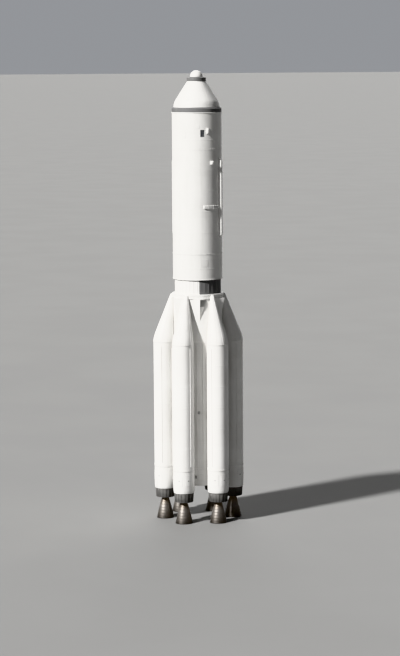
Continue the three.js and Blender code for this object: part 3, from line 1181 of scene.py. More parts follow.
@dataclass
class CoreStage(Assembly):
    """The first stage's core: tail bay, tank, upper skirt with its thrust brackets, frame ring."""

    weld_pitch: float = 2.1
    joint_screws: int = 144
    tail_edge: float = 0.012
    tail_ring: float = 0.22
    tail_ring_lift: float = 0.012
    tail_joint_drop: float = 0.08
    tail_door: Plate = Plate(0.0, 0.42, 1.02, width=0.5)
    tail_socket: Plate = Plate(-11.0, 0.62, 0.86, width=0.16, lift=0.02, corner=0.03, finish=2)
    grid_hoops: tuple[float, ...] = (0.42, 1.16, 1.9)
    grid_hoop_half: float = 0.045
    grid_spoke_half: float = 0.05
    grid_depth: float = 0.012
    service_band: Plate = Plate(0.0, 5.6, 6.02, width=1.0, lift=0.025, corner=0.03)
    service_port: Plate = Plate(-3.0, 6.05, 6.3, width=0.2, lift=0.03, corner=0.05, finish=1)
    cable_turn: float = 7.0
    cable_width: float = 0.06
    cable_reach: float = 0.035
    cable_end_gap: float = 0.15
    skirt_rows: tuple[float, float] = (0.1, 1.7)
    skirt_ring_lift: float = 0.01
    bracket_half_width: float = 0.69
    bracket_reach: float = 0.41
    bracket_height: float = 2.7
    bracket_sunk: float = 0.17
    bracket_rivets: int = 16
    # The grey louvred plates on every second bracket's face are painted shade: a grey sheet where shadow
    # falls beside the ridge.
    painted_shade_vent_span: tuple[float, float, float, float] = (0.1, 0.74, 0.06, 0.62)
    painted_shade_vent_every: int = 2
    painted_shade_slats: int = 6
    frame_flange: float = 0.09
    frame_groove: float = 0.025
    frame_edge: float = 0.02
    frame_bolts: int = 96

    def build(self) -> None:
        """Builds every piece of the core."""
        self.tail()
        self.tank()
        self.skirt()
        self.frame_ring()

    @staticmethod
    def gaps() -> list[float]:
        """Gives the azimuths midway between the side blocks, where the core shows."""
        return [azimuth - FIRST_SIDE_AZIMUTH for azimuth in side_azimuths()]

    def tail(self) -> None:
        """Builds the tail bay with its flat face, ribs underneath and service hatches."""
        radius, paint, edge = self.sizes.core_r, self.paint, self.tail_edge
        low, high = span("core_tail_bay")
        joint = high - self.tail_joint_drop
        draft = Draft("core_tail_skin", paint.core_white, paint.shield, paint.alloy)
        side = banded(radius, low + edge, high, [self.tail_ring, joint], self.tail_ring_lift)
        draft.lathe([(0.0, low), (radius - edge, low), *side, (0.0, high)], Quality.CORE)
        inner, outer, half = self.grid_hoops[0], self.grid_hoops[-1], self.grid_spoke_half
        screws = []
        for azimuth in self.gaps():
            door = self.tail_door.moved(azimuth)
            draft.plate(door, radius)
            draft.plate(self.tail_socket.moved(azimuth), radius)
            screws += door.screws(radius)
            spoke_low, spoke_high = Vector((inner, -half, -self.grid_depth)), Vector((outer, half, 0.02))
            draft.bar(spoke_low, spoke_high, turned(azimuth), 0.004, finish=1)
        for reach in self.grid_hoops:
            near, far = reach - self.grid_hoop_half, reach + self.grid_hoop_half
            hoop = [(near, 0.01), (near, -self.grid_depth), (far, -self.grid_depth), (far, 0.01)]
            draft.lathe(hoop, Quality.TANK, finish=1)
        self.fit(draft.done(), "core_tail_bay")
        screws += self.ring_places(radius + self.tail_ring_lift, joint, self.joint_screws)
        self.fasten("core_tail_bolts", screws, Fastener.BOLT, paint.bolt, Slot.METAL)

    def tank(self) -> None:
        """Builds the oxidizer tank with its weld rings and, in each gap, hatches and cable trays."""
        radius, paint = self.sizes.core_r, self.paint
        low, high = span("core_oxidizer_tank")
        draft = Draft("core_tank_skin", paint.core_white, paint.alloy)
        rings = weld_heights(low, high, self.weld_pitch)
        draft.lathe(closed_skin(banded(radius, low, high, rings)), Quality.CORE)
        foot, top = low + self.cable_end_gap, high - self.cable_end_gap
        for azimuth in self.gaps():
            draft.plate(self.service_band.moved(azimuth), radius)
            draft.plate(self.service_port.moved(azimuth), radius)
            for turn in (azimuth - self.cable_turn, azimuth + self.cable_turn):
                draft.plate(Plate(turn, foot, top, self.cable_width, self.cable_reach, 0.02), radius)
        self.fit(draft.done(), "core_oxidizer_tank")

    def skirt(self) -> None:
        """Builds the upper skirt with a ridged bracket in each gap and its rivet rows."""
        radius, paint = self.sizes.core_r, self.paint
        low, high = span("core_upper_skirt")
        rows = [low + rise for rise in self.skirt_rows]
        draft = Draft("core_skirt_skin", paint.white, paint.painted_shade_grey)
        side = banded(radius, low, high, [*rows, high - self.skirt_rows[0]], self.skirt_ring_lift)
        draft.lathe(closed_skin(side), Quality.CORE)
        root, half = radius - self.bracket_sunk, self.bracket_half_width
        rivets = []
        for number, azimuth in enumerate(self.gaps()):
            turn = turned(azimuth)
            left, ridge, right, foot = (
                turn @ Vector(corner)
                for corner in (
                    (root, -half, high), (radius + self.bracket_reach, 0.0, high),
                    (root, half, high), (root, 0.0, high - self.bracket_height),
                )
            )
            draft.rows([[foot], [left, ridge, right]], caps=True)
            # Every second bracket gets a grey louvred plate on one face: painted shade.
            if number % self.painted_shade_vent_every == 0:
                self.painted_shade_vent(draft, ridge, right, foot)
            for way, edge in ((-1, left), (1, right)):
                facing = (turn @ Vector((0.7, way * 0.7, 0.1))).normalized()
                for share in spread(0.12, 0.82, self.bracket_rivets):
                    along = foot.lerp(ridge, share)
                    rivets.append((along.lerp(foot.lerp(edge, share), 0.12), facing))
        for height in rows:
            rivets += self.ring_places(radius + self.skirt_ring_lift, height, self.joint_screws)
        self.fit(draft.done(), "core_upper_skirt")
        self.fasten("core_skirt_rivets", rivets, Fastener.BRACKET_RIVET, paint.white)

    def painted_shade_vent(self, draft: Draft, ridge: Vector, corner: Vector, foot: Vector) -> None:
        """Adds a grey louvred plate on one face of a bracket: painted shade, standing for the shadow beside
        the bracket's ridge.

        Args:
            draft: The piece that it becomes part of.
            ridge: The face's upper corner on the ridge.
            corner: Its other upper corner.
            foot: Its lower corner.
        """
        along = (corner - ridge).normalized()
        out = along.cross(foot - ridge).normalized()
        if out.dot(Vector((ridge.x, ridge.y, 0.0))) < 0.0:
            out.negate()
        down = along.cross(out).normalized()
        if down.z > 0.0:
            down.negate()
        place = Matrix((along, down, out)).transposed().to_4x4()
        place.translation = ridge
        near, far, top, bottom = self.painted_shade_vent_span
        draft.bar(Vector((near, top, -0.02)), Vector((far, bottom, 0.012)), place, 0.004, finish=1)
        pitch, margin = (bottom - top) / self.painted_shade_slats, 0.03
        for k in range(self.painted_shade_slats):
            start = top + pitch * (k + 0.25)
            low = Vector((near + margin, start, 0.0))
            high = Vector((far - margin, start + 0.5 * pitch, 0.03))
            draft.bar(low, high, place, 0.006, finish=1)

    def frame_ring(self) -> None:
        """Builds the grooved frame ring that ends the first stage, with bolts round it."""
        radius, paint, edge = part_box("core_frame_ring")[1][0], self.paint, self.frame_edge
        low, high = span("core_frame_ring")
        bed, flange = radius - self.frame_groove, self.frame_flange
        draft = Draft("frame_ring_skin", paint.white)
        side = [
            (radius - edge, low), (radius, low + edge), (radius, low + flange),
            (bed, low + flange + 0.02), (bed, high - flange - 0.02),
            (radius, high - flange), (radius, high - edge), (radius - edge, high),
        ]
        draft.lathe(closed_skin(side), Quality.CORE)
        self.fit(draft.done(), "core_frame_ring")
        middle, apart = (low + high) / 2, 0.04
        bolts = self.ring_places(bed, middle - apart, self.frame_bolts)
        half_pitch = 180.0 / self.frame_bolts
        bolts += self.ring_places(bed, middle + apart, self.frame_bolts, start=half_pitch)
        self.fasten("frame_ring_bolts", bolts, Fastener.FRAME_BOLT, paint.white)


@dataclass(frozen=True)
class Berth:
    """The place of one side block and its engine."""

    number: int
    azimuth: float
    centre: Vector

    @classmethod
    def all_round(cls, ring_r: float) -> "list[Berth]":
        """Gives the six places in order, with their centres on a ring."""
        places = enumerate(side_azimuths(), start=1)
        return [cls(number, azimuth, polar(azimuth, ring_r, 0.0)) for number, azimuth in places]


@dataclass
class SideBlocks(Assembly):
    """The six side blocks: each a tank, a slanted nose, an engine bay and a heat shield."""

    weld_pitch: float = 1.75
    weld_lift: float = 0.007
    foot_ring: float = 0.07
    ring_clearance: float = 0.1
    ring_screws: int = 72
    tray_turn: float = 70.0
    tray_ends: tuple[float, float] = (0.3, 0.35)
    tray_width: float = 0.09
    tray_reach: float = 0.04
    straight_share: float = 0.45
    curved_rows: int = 9
    slanted_rows: int = 11
    slant: tuple[tuple[float, float], tuple[float, float]] = ((12.8, 3.536), (15.9, 2.284))
    tip_reaches: tuple[float, float, float] = (2.248, 2.205, 2.16)
    nose_seams: tuple[float, ...] = (-75.0, -38.0, 0.0, 38.0, 75.0)
    shell: float = 0.05
    foot_narrowing: float = 0.03
    door_turns: tuple[float, ...] = (-52.0, 0.0, 52.0)
    door: Plate = Plate(0.0, 0.2, 1.12, width=0.56, corner=0.06)
    latch: Plate = Plate(0.0, 0.62, 0.7, width=0.12, lift=0.03, corner=0.02, finish=1)
    bay_screws: int = 60
    shield_wall: float = 0.04
    shield_insets: tuple[float, float] = (0.075, 0.13)
    shield_ribs: int = 18
    shield_rib_width: float = 0.045
    shield_rib_reach: float = 0.018

    def build(self) -> None:
        """Builds the six blocks one after the other."""
        for berth in Berth.all_round(self.sizes.side_ring_r):
            self.tank(berth)
            self.nose(berth)
            self.bay(berth)
            self.shield(berth)

    def tank(self, berth: Berth) -> None:
        """Builds one tank with weld rings, two long cable trays and its end ring.

        Args:
            berth: The block's place.
        """
        number, centre, radius = berth.number, berth.centre, self.sizes.side_r
        low, high = span(f"side_tank_{number}")
        bare_top = high - SIDE_LIP.length()
        rings = [low + self.foot_ring, *weld_heights(low, high, self.weld_pitch)]
        rings = [ring for ring in rings if ring < bare_top - self.ring_clearance]
        draft = Draft(f"side_tank_skin_{number}", self.paint.side_white)
        side = [*banded(radius, low, bare_top, rings, self.weld_lift), *SIDE_LIP.rows(radius, high)]
        draft.lathe(closed_skin(side), Quality.TANK, centre, moves=clear_of_core(self.sizes.core_r + SEAM))
        foot, top = low + self.tray_ends[0], high - self.tray_ends[1]
        for turn in (berth.azimuth - self.tray_turn, berth.azimuth + self.tray_turn):
            draft.plate(Plate(turn, foot, top, self.tray_width, self.tray_reach, 0.03), radius, centre)
        self.fit(draft.done(), f"side_tank_{number}")
        rivets = []
        for reach, height in ((self.weld_lift, rings[0]), (SIDE_LIP.reach, high - SIDE_LIP.height / 2)):
            rivets += self.round_block(radius + reach, height, self.ring_screws, centre)
        self.fasten(f"side_tank_rivets_{number}", rivets, Fastener.TANK_RIVET, self.paint.white)

    def round_block(self, radius: float, height: float, count: int, centre: Vector) -> Places:
        """Gives screw places round a side block, without those that the core covers."""
        return self.ring_places(radius, height, count, centre, keep_out=self.sizes.core_r + 0.03)

    def nose_rows(self) -> list[tuple[float, float]]:
        """Gives the slanted nose's heights with its outer edge's distance from the rocket's axis.

        Returns:
            The pairs, from the foot up.
        """
        low, top = span("side_nose_1")
        corner = self.sizes.side_ring_r + self.sizes.side_r
        (line_low, low_reach), (line_high, high_reach) = self.slant
        slope = (low_reach - high_reach) / (line_high - line_low)
        rows = []
        for share in spread(0.0, 1.0, self.curved_rows):
            eased = self.straight_share * share + (1.0 - self.straight_share) * share * share
            rows.append((low + (line_low - low) * share, corner - (corner - low_reach) * eased))
        heights = spread(line_low, line_high, self.slanted_rows + 1)[1:]
        rows += [(height, low_reach - slope * (height - line_low)) for height in heights]
        tip_heights = (line_high + 0.4 * (top - line_high), top - 0.012, top)
        return [*rows, *zip(tip_heights, self.tip_reaches)]

    def nose(self, berth: Berth) -> None:
        """Builds one slanted nose: its inner edge is upright and its outer edge leans in.

        Args:
            berth: The block's place.
        """
        number, azimuth, paint = berth.number, berth.azimuth, self.paint
        inner = self.sizes.side_ring_r - self.sizes.side_r
        move = clear_of_core(self.sizes.core_r + SEAM)
        rows = []
        for height, outer in self.nose_rows():
            radius, centre = (outer - inner) / 2, polar(azimuth, (outer + inner) / 2, height)
            rows.append([move(point) for point in circle(centre, radius, Quality.TANK.value)])
        draft = Draft(f"side_nose_skin_{number}", paint.side_white)
        draft.rows(rows, caps=True)
        rivets = []
        for turn in (azimuth + seam for seam in self.nose_seams):
            path = []
            for height, outer in self.nose_rows()[:-2]:
                radius, middle = (outer - inner) / 2 + 0.002, polar(azimuth, (outer + inner) / 2, height)
                path.append(middle + polar(turn, radius, 0.0))
            draft.pipe(path, 0.012, 6)
            out, aside = polar(turn, 1.0, 0.0), polar(turn + 90.0, 0.045, 0.0)
            slanted = path[self.curved_rows:]
            for low, high in zip(slanted, slanted[1:]):
                rivets += [(low.lerp(high, share) + aside, out) for share in (0.2, 0.6)]
        self.fit(draft.done(), f"side_nose_{number}")
        self.fasten(f"side_nose_rivets_{number}", rivets, Fastener.NOSE_RIVET, paint.white)

    def bay(self, berth: Berth) -> None:
        """Builds one engine bay: an open shell with doors, a rim and the beam with the pin's ears.

        Args:
            berth: The block's place.
        """
        number, centre, paint = berth.number, berth.centre, self.paint
        radius, foot, top = self.sizes.side_r, self.sizes.skirt_bottom, span("core_tail_bay")[1]
        lip = radius - self.foot_narrowing
        inside, ceiling = lip - self.shell, top - self.shell
        outer = [
            (0.0, top), *reversed(SIDE_LIP.rows(radius, top)), (radius, foot + 0.25),
            (lip + 0.006, foot + 0.05), (lip, foot + 0.012), (lip - 0.012, foot),
        ]
        inner = [(inside + 0.01, foot), (inside, foot + 0.012), (inside, ceiling), (0.0, ceiling)]
        moves = [clear_of_core(self.sizes.core_r + SEAM)] * len(outer)
        moves += [clear_of_core(self.sizes.core_r + self.shell + 0.02)] * len(inner)
        draft = Draft(f"engine_bay_skin_{number}", paint.side_white, paint.alloy)
        draft.lathe([*outer, *inner], Quality.TANK, centre, moves=moves)
        screws = []
        for turn in (berth.azimuth + offset for offset in self.door_turns):
            door = self.door.moved(turn)
            draft.plate(door, radius, centre)
            screws += door.screws(radius, centre)
            draft.plate(self.latch.moved(turn), radius, centre)
        self.beam(draft, berth)
        self.fit(draft.done(), f"engine_bay_{number}")
        joint, rim = top - SIDE_LIP.height / 2, foot + 0.11
        for reach, height in ((radius + SIDE_LIP.reach, joint), (lip + 0.012, rim)):
            screws += self.round_block(reach, height, self.bay_screws, centre)
        name = f"engine_bay_screws_{number}"
        self.fasten(name, screws, Fastener.DOOR_SCREW, paint.bolt, Slot.METAL)

    def beam(self, draft: Draft, berth: Berth) -> None:
        """Adds the beam across a bay with the two ears that hold the engine's pin.

        Args:
            draft: The piece that it becomes part of.
            berth: The block's place.
        """
        turn, half = turned(berth.azimuth, berth.centre), 0.13
        inboard = self.sizes.core_r + self.shell - self.sizes.side_ring_r
        outboard = self.sizes.side_r - 0.06
        draft.bar(Vector((inboard, -half, -0.04)), Vector((outboard, half, 0.14)), turn, 0.012, finish=1)
        for near, far in ((-0.37, -0.31), (0.31, 0.37)):
            draft.bar(Vector((near, -half, -0.35)), Vector((far, half, -0.03)), turn, 0.01, finish=1)

    def shield(self, berth: Berth) -> None:
        """Builds one heat shield: a tapered sleeve with flanges and upright ribs.

        Args:
            berth: The block's place.
        """
        number, centre, sizes, paint = berth.number, berth.centre, self.sizes, self.paint
        top, foot, wall = sizes.skirt_bottom - SEAM, sizes.shield_bottom, self.shield_wall
        top_r, foot_r = (sizes.side_r - inset for inset in self.shield_insets)
        draft = Draft(f"shield_sleeve_{number}", paint.shield, paint.soot)
        outer = [
            (top_r, top), (top_r, top - 0.05), (top_r - 0.014, top - 0.06), (foot_r - 0.004, foot + 0.06),
            (foot_r + 0.006, foot + 0.05), (foot_r + 0.006, foot),
        ]
        inner = [(foot_r - wall, foot), (foot_r - wall, foot + 0.05), (top_r - wall, top)]
        draft.lathe([*outer, *inner], Quality.TANK, centre)
        self.fit(draft.done(), f"heat_shield_{number}", slot=Slot.SHIELD)
        lean = math.atan2(top_r - foot_r, top - foot)
        drop = UP * math.tan(lean)
        middle = self.ring_places((top_r + foot_r) / 2, (top + foot) / 2, self.shield_ribs, centre)
        ribs = [(point, (out - drop).normalized()) for point, out in middle]
        width, depth = self.shield_rib_width, 2 * self.shield_rib_reach
        length = (top - foot - 0.01) / math.cos(lean)
        made = self.ribs.set_on(f"shield_ribs_{number}", ribs, paint.shield, width, depth, length)
        self.fit(made, slot=Slot.SHIELD)


@dataclass
class Engines(Assembly):
    """The six first-stage engines: head, chamber, bell with hoops, pump, pipes and swing pin."""

    pivot: float = -0.25
    throat: float = BELL_THROAT
    throat_r: float = 0.15
    exit_r: float = 0.715
    bell_curve: float = 0.35
    wall: float = 0.028
    chamber: tuple[tuple[float, float], ...] = (
        # radius, height
        (0.0, -0.16), (0.12, -0.155), (0.2, -0.175), (0.262, -0.215), (0.285, -0.27), (0.285, -0.4),
        (0.25, -0.43), (0.215, -0.46), (0.215, -0.74), (0.2, -0.82), (0.172, -0.88),
    )
    coolant_share: float = 0.05
    coolant_reach: float = 0.055
    coolant_tube: float = 0.04
    hoops: tuple[tuple[float, float], ...] = (
        # share of the way to the exit, reach
        (0.2, 0.01), (0.32, 0.018), (0.44, 0.01), (0.56, 0.018), (0.68, 0.01), (0.79, 0.018), (0.9, 0.01),
    )
    flange_height: float = 0.04
    flange_reach: float = 0.014
    bolt_rings: tuple[tuple[float, float, int], ...] = ((0.285, -0.335, 30), (0.205, -0.6, 24))
    pin_reach: float = 0.37
    pin_r: float = 0.045
    pump_x: float = 0.46
    pump: tuple[tuple[float, float], ...] = (
        # radius, height
        (0.0, -0.455), (0.07, -0.46), (0.11, -0.485), (0.11, -0.7), (0.08, -0.73), (0.08, -0.83),
        (0.11, -0.86), (0.11, -0.98), (0.06, -1.025), (0.0, -1.03),
    )
    pump_pipes: tuple[tuple[float, float], ...] = ((-0.52, 0.15), (-0.985, 0.154))
    pipe_r: float = 0.034
    pipe_collar_r: float = 0.05

    def build(self) -> None:
        """Builds the six engines, each on its own body."""
        for berth in Berth.all_round(self.sizes.side_ring_r):
            self.engine(berth)

    def bell_radius(self, share: float) -> float:
        """Gives the bell's outer radius at a share of the way from throat to exit."""
        flare = (1.0 + self.bell_curve) * share - self.bell_curve * share * share
        return self.throat_r + (self.exit_r - self.throat_r) * flare

    def height(self, share: float) -> float:
        """Gives the height at a share of the way from throat to exit."""
        return self.throat + (self.sizes.nozzle_exit - self.throat) * share

    def engine(self, berth: Berth) -> None:
        """Builds one engine with its hoops as one piece and its small heads as another.

        Args:
            berth: The engine's place.
        """
        number, centre, paint, body = berth.number, berth.centre, self.paint, f"swivel_{berth.number}"
        draft = Draft(f"engine_body_{number}", paint.steel, paint.soot, paint.alloy, paint.bolt)
        shares = spread(0.0, 1.0, 28)
        outside = [(self.bell_radius(share), self.height(share)) for share in shares]
        inside = [(radius - self.wall, height) for radius, height in reversed(outside)]
        draft.lathe([*self.chamber, *outside], Quality.ENGINE, centre)
        draft.lathe([outside[-1], *inside, (0.0, self.throat + 0.02)], Quality.ENGINE, centre, finish=1)
        for share, out in self.hoops:
            radius, level = self.bell_radius(share), self.height(share)
            hoop = [
                (radius - 0.012, level + 0.026), (radius + out, level + 0.014),
                (radius + out, level - 0.014), (radius - 0.006, level - 0.026),
            ]
            draft.lathe(hoop, Quality.ENGINE, centre)
        self.exit_flange(draft, centre)
        self.fittings(draft, berth)
        self.fit(draft.done(), f"engine_{number}", slot=Slot.METAL, body=body)
        bolts = []
        for radius, level, count in self.bolt_rings:
            bolts += self.ring_places(radius, level, count, centre)
        self.fasten(f"engine_bolts_{number}", bolts, Fastener.BOLT, paint.bolt, Slot.METAL, body)

    def exit_flange(self, draft: Draft, centre: Vector) -> None:
        """Adds the flange round the bell's exit.

        Args:
            draft: The piece that it becomes part of.
            centre: A point on the bell's axis.
        """
        level, rim, edge = self.sizes.nozzle_exit, self.exit_r + self.flange_reach, 0.004
        crest = level + self.flange_height
        flange = [
            (self.exit_r - 0.02, crest + 0.012), (rim - edge, crest), (rim, crest - edge),
            (rim, level + edge), (rim - edge, level), (self.exit_r - self.wall / 2, level),
        ]
        draft.lathe(flange, Quality.ENGINE, centre)

    def fittings(self, draft: Draft, berth: Berth) -> None:
        """Adds the swing pin, the coolant ring, the pump under an ear and its pipes.

        Args:
            draft: The piece that they become part of.
            berth: The engine's place.
        """
        centre, turn, alloy, steel = berth.centre, turned(berth.azimuth, berth.centre), 2, 3
        pin = [turn @ Vector((x, 0.0, self.pivot)) for x in (-self.pin_reach, -0.2, 0.2, self.pin_reach)]
        draft.pipe(pin, self.pin_r, 24, steel)
        ring_level, tube = self.height(self.coolant_share), self.coolant_tube
        ring_r = self.bell_radius(self.coolant_share) + self.coolant_reach - tube
        loop = [(ring_r + tube * math.cos(t), ring_level + tube * math.sin(t)) for t in full_turn(16)]
        draft.lathe(loop, Quality.ENGINE, centre, alloy)
        draft.lathe(self.pump, Quality.SMALL, turn @ Vector((self.pump_x, 0.0, 0.0)), alloy)
        for level, start in self.pump_pipes:
            path = [turn @ Vector((x, 0.0, level)) for x in (start, 0.28, 0.34, self.pump_x)]
            draft.pipe(path, self.pipe_r, 18, alloy)
            for reach in (0.245, 0.33):
                collar = [turn @ Vector((reach + x, 0.0, level)) for x in (-0.012, 0.012)]
                draft.pipe(collar, self.pipe_collar_r, 18, steel)


@dataclass
class Interstage(Assembly):
    """The painted quarter panels between the stages, with stringers and screws."""

    radius: float = 1.9
    wall: float = 0.06
    lip: float = 0.03
    flange: float = 0.05
    end_screws: int = 26
    side_screws: int = 9
    seam: float = 0.0003
    end_margin: float = 2.0
    side_margin: float = 1.6
    stringer_margin: float = 5.0
    stringers: int = 9
    stringer_width: float = 0.05
    stringer_reach: float = 0.022
    stringer_end_gap: float = 0.09

    def build(self) -> None:
        """Builds the four panels, then gives the engine block inside them its finish."""
        paint = self.paint
        for number in range(1, 5):
            finish, slot = (paint.dark, Slot.DARK) if number % 2 else (paint.white, Slot.WHITE)
            self.panel(number, 90.0 * (number - 1), finish, slot)
        block = bpy.data.objects["stage2_engine_block"]
        block.data.materials.clear()
        block.data.materials.append(paint.alloy)

    def panel(self, number: int, start: float, finish: bpy.types.Material, slot: Slot) -> None:
        """Builds one quarter panel with its flanges, stringers and screws.

        Args:
            number: The panel's number.
            start: The azimuth where it starts.
            finish: Its paint.
            slot: The record's material slot.
        """
        radius, low, high = self.radius, span("core_frame_ring")[1], span("interstage_panel_1")[1]
        inner, rim, flange = radius - self.wall, radius + self.lip, self.flange
        section = [
            (inner, low), (rim, low), (rim, low + flange), (radius, low + flange + 0.02),
            (radius, high - flange - 0.02), (rim, high - flange), (rim, high), (inner, high),
        ]

        def across(margin: float, count: int) -> list[float]:
            """Gives evenly spaced azimuths across the panel, a margin in from its sides."""
            return spread(start + margin, start + 90.0 - margin, count)

        draft = Draft(f"interstage_skin_{number}", finish)
        turns = across(math.degrees(self.seam / radius), 46)
        draft.rows([[polar(turn, reach, height) for reach, height in section] for turn in turns], caps=True)
        foot, top = low + self.stringer_end_gap, high - self.stringer_end_gap
        for turn in across(self.stringer_margin, self.stringers):
            draft.plate(Plate(turn, foot, top, self.stringer_width, self.stringer_reach, 0.015), radius)
        self.fit(draft.done(), f"interstage_panel_{number}", slot=slot)
        ends, sides = across(self.end_margin, self.end_screws), across(self.side_margin, 2)
        levels = spread(low + 0.12, high - 0.12, self.side_screws)
        places = [(turn, rim, level) for turn in ends for level in (low + flange / 2, high - flange / 2)]
        places += [(turn, radius, level) for turn in sides for level in levels]
        screws = [(polar(turn, reach, level), polar(turn, 1.0, 0.0)) for turn, reach, level in places]
        self.fasten(f"interstage_screws_{number}", screws, Fastener.PANEL_SCREW, finish, slot)


@dataclass
class SecondStage(Assembly):
    """The second stage's engine bay and tanks with ducts, a blister and hatches."""

    bay_ring: float = 0.95
    bay_doors: tuple[float, ...] = (-48.0, 12.0, 72.0, 132.0, 192.0, 252.0)
    bay_door: Plate = Plate(0.0, 1.12, 1.72, width=0.62, lift=0.01, corner=0.08)
    foot_screws: int = 120
    joint_screws: int = 144
    weld_pitch: float = 1.72
    weld_lift: float = 0.005
    tank_joint_drop: float = 0.06
    tray_gaps: tuple[tuple[float, float, float], ...] = (
        # azimuth, gap at the foot, gap at the top
        (-118.0, 0.3, 0.3), (118.0, 0.3, 2.0),
    )
    cover_turns: tuple[float, float] = (-30.0, 150.0)
    cover_size: float = 0.4
    duct_azimuth: float = 60.0
    duct_low: float = 20.67
    duct_high: float = 27.27
    duct_width: float = 0.24
    duct_reach: float = 0.23
    duct_slope: float = 0.26
    duct_straps: int = 9
    cross_low: float = 23.1
    cross_high: float = 23.38
    cross_from: float = 12.0
    cross_reach: float = 0.08
    cross_straps: tuple[float, ...] = (22.0, 36.0, 50.0)
    strap_reach: float = 0.01
    blister_azimuth: float = 33.0
    blister_width: float = 0.38
    blister_reach: float = 0.21

    def build(self) -> None:
        """Builds every piece of the stage."""
        self.bay()
        self.tanks()
        self.duct("cable_duct_front", self.duct_azimuth, cross=True)
        self.duct("cable_duct_rear", self.duct_azimuth + 180.0, cross=False)
        self.blister("stage2_blister", self.blister_azimuth, self.blister_width, self.blister_reach)

    def bay(self) -> None:
        """Builds the engine bay with doors and the joint's screws."""
        radius, paint = self.sizes.core_r, self.paint
        low, high = span("stage2_engine_bay")
        draft = Draft("stage2_bay_skin", paint.upper_white)
        bare_low, bare_high = low + CORE_LIP.length(), high - CORE_LIP.length()
        foot_lip, top_lip = CORE_LIP.rows(radius, low, way=1), CORE_LIP.rows(radius, high)
        bare = banded(radius, bare_low, bare_high, [low + self.bay_ring], 0.01)
        draft.lathe(closed_skin([*reversed(foot_lip), *bare, *top_lip]), Quality.CORE)
        proud, middle = radius + CORE_LIP.reach, CORE_LIP.height / 2
        screws = self.ring_places(proud, low + middle, self.foot_screws)
        screws += self.ring_places(proud, high - middle, self.joint_screws)
        for turn in self.bay_doors:
            door = self.bay_door.moved(turn, low)
            draft.plate(door, radius)
            screws += door.screws(radius)
        self.fit(draft.done(), "stage2_engine_bay")
        self.fasten("stage2_bay_screws", screws, Fastener.JOINT_SCREW, paint.upper_white)

    def tanks(self) -> None:
        """Builds the tank skin with its weld rings, slim trays and round covers."""
        radius, paint = self.sizes.core_r, self.paint
        low, high = span("stage2_tanks")
        joint = high - self.tank_joint_drop
        rings = [ring for ring in weld_heights(low, high, self.weld_pitch) if ring < high - 0.3]
        draft = Draft("stage2_tank_skin", paint.upper_white)
        side = banded(radius, low, high, [*rings, joint], self.weld_lift)
        draft.lathe(closed_skin(side), Quality.CORE)
        for turn, foot_gap, top_gap in self.tray_gaps:
            draft.plate(Plate(turn, low + foot_gap, high - top_gap, 0.07, 0.03, 0.03), radius)
        for turn in self.cover_turns:
            for foot in (low + 0.35, high - 0.85):
                draft.plate(Plate(turn, foot, foot + self.cover_size, self.cover_size, corner=0.18), radius)
        self.fit(draft.done(), "stage2_tanks")
        screws = self.ring_places(radius + self.weld_lift, joint, self.joint_screws)
        self.fasten("stage2_tank_screws", screws, Fastener.TANK_RIVET, paint.upper_white)

    def duct(self, node: str, azimuth: float, cross: bool) -> None:
        """Builds an upright cable duct with sloping ends and straps, and a cross duct if it has one.

        Args:
            node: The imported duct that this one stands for.
            azimuth: Its middle.
            cross: Whether a duct runs from it round the skin.
        """
        radius, half = self.sizes.core_r, self.duct_width / 2
        root, reach, shoulder = radius + SEAM, radius + self.duct_reach, 0.03
        out, side = polar(azimuth, 1.0, 0.0), polar(azimuth + 90.0, 1.0, 0.0)

        def row(height: float, top: float) -> list[Vector]:
            """Gives the duct's section at a height, its crown at a distance from the axis.

            Args:
                height: The height.
                top: The crown's distance, or less for the least that a section may have.

            Returns:
                The section's points.
            """
            foot = math.sqrt(root * root - half * half)
            crown = max(top, foot + 0.012)
            bevel = min(shoulder, (crown - foot) / 2)
            outline = [(-half, foot), (-half, crown - bevel), (-half + bevel, crown)]
            outline += [(-u, v) for u, v in reversed(outline)]
            outline.append((0.0, root))
            return [out * v + side * u + UP * height for u, v in outline]

        draft = Draft(f"{node}_skin", self.paint.upper_white)
        low, high = self.duct_low + self.duct_slope, self.duct_high - self.duct_slope
        level = [row(height, reach) for height in spread(low, high, 14)]
        draft.rows([row(self.duct_low, 0.0), *level, row(self.duct_high, 0.0)], caps=True)
        width, crown = half + 0.012, reach + self.strap_reach
        for height in spread(self.duct_low + 0.5, self.duct_high - 0.5, self.duct_straps):
            strap_low, strap_high = Vector((root - 0.01, -width, height)), Vector((crown, width, height))
            draft.bar(strap_low - UP * 0.02, strap_high + UP * 0.02, turned(azimuth))
        if cross:
            self.cross_duct(draft)
        self.fit(draft.done(), node)

    def cross_duct(self, draft: Draft) -> None:
        """Adds the duct that runs round the skin from the upright one.

        Args:
            draft: The piece that it becomes part of.
        """
        radius = self.sizes.core_r
        low, high, root, reach = self.cross_low, self.cross_high, radius + SEAM, radius + self.cross_reach
        edge, middle, taper = 0.035, (low + high) / 2, 0.7
        section = [
            (root, low), (reach - edge, low), (reach, low + edge),
            (reach, high - edge), (reach - edge, high), (root, high),
        ]
        tip = [(min(r, root + 0.03), middle + taper * (z - middle)) for r, z in section]
        rows = [[polar(self.cross_from - 1.6, r, z) for r, z in tip]]
        for turn in spread(self.cross_from, self.duct_azimuth - 1.0, 36):
            rows.append([polar(turn, r, z) for r, z in section])
        draft.rows(rows, caps=True)
        foot, crown, proud = root - 0.005, reach + self.strap_reach, 0.012
        strap = [(foot, low - proud), (crown, low - proud), (crown, high + proud), (foot, high + proud)]
        for turn in self.cross_straps:
            sides = (turn - 0.6, turn, turn + 0.6)
            draft.rows([[polar(t, r, z) for r, z in strap] for t in sides], caps=True)


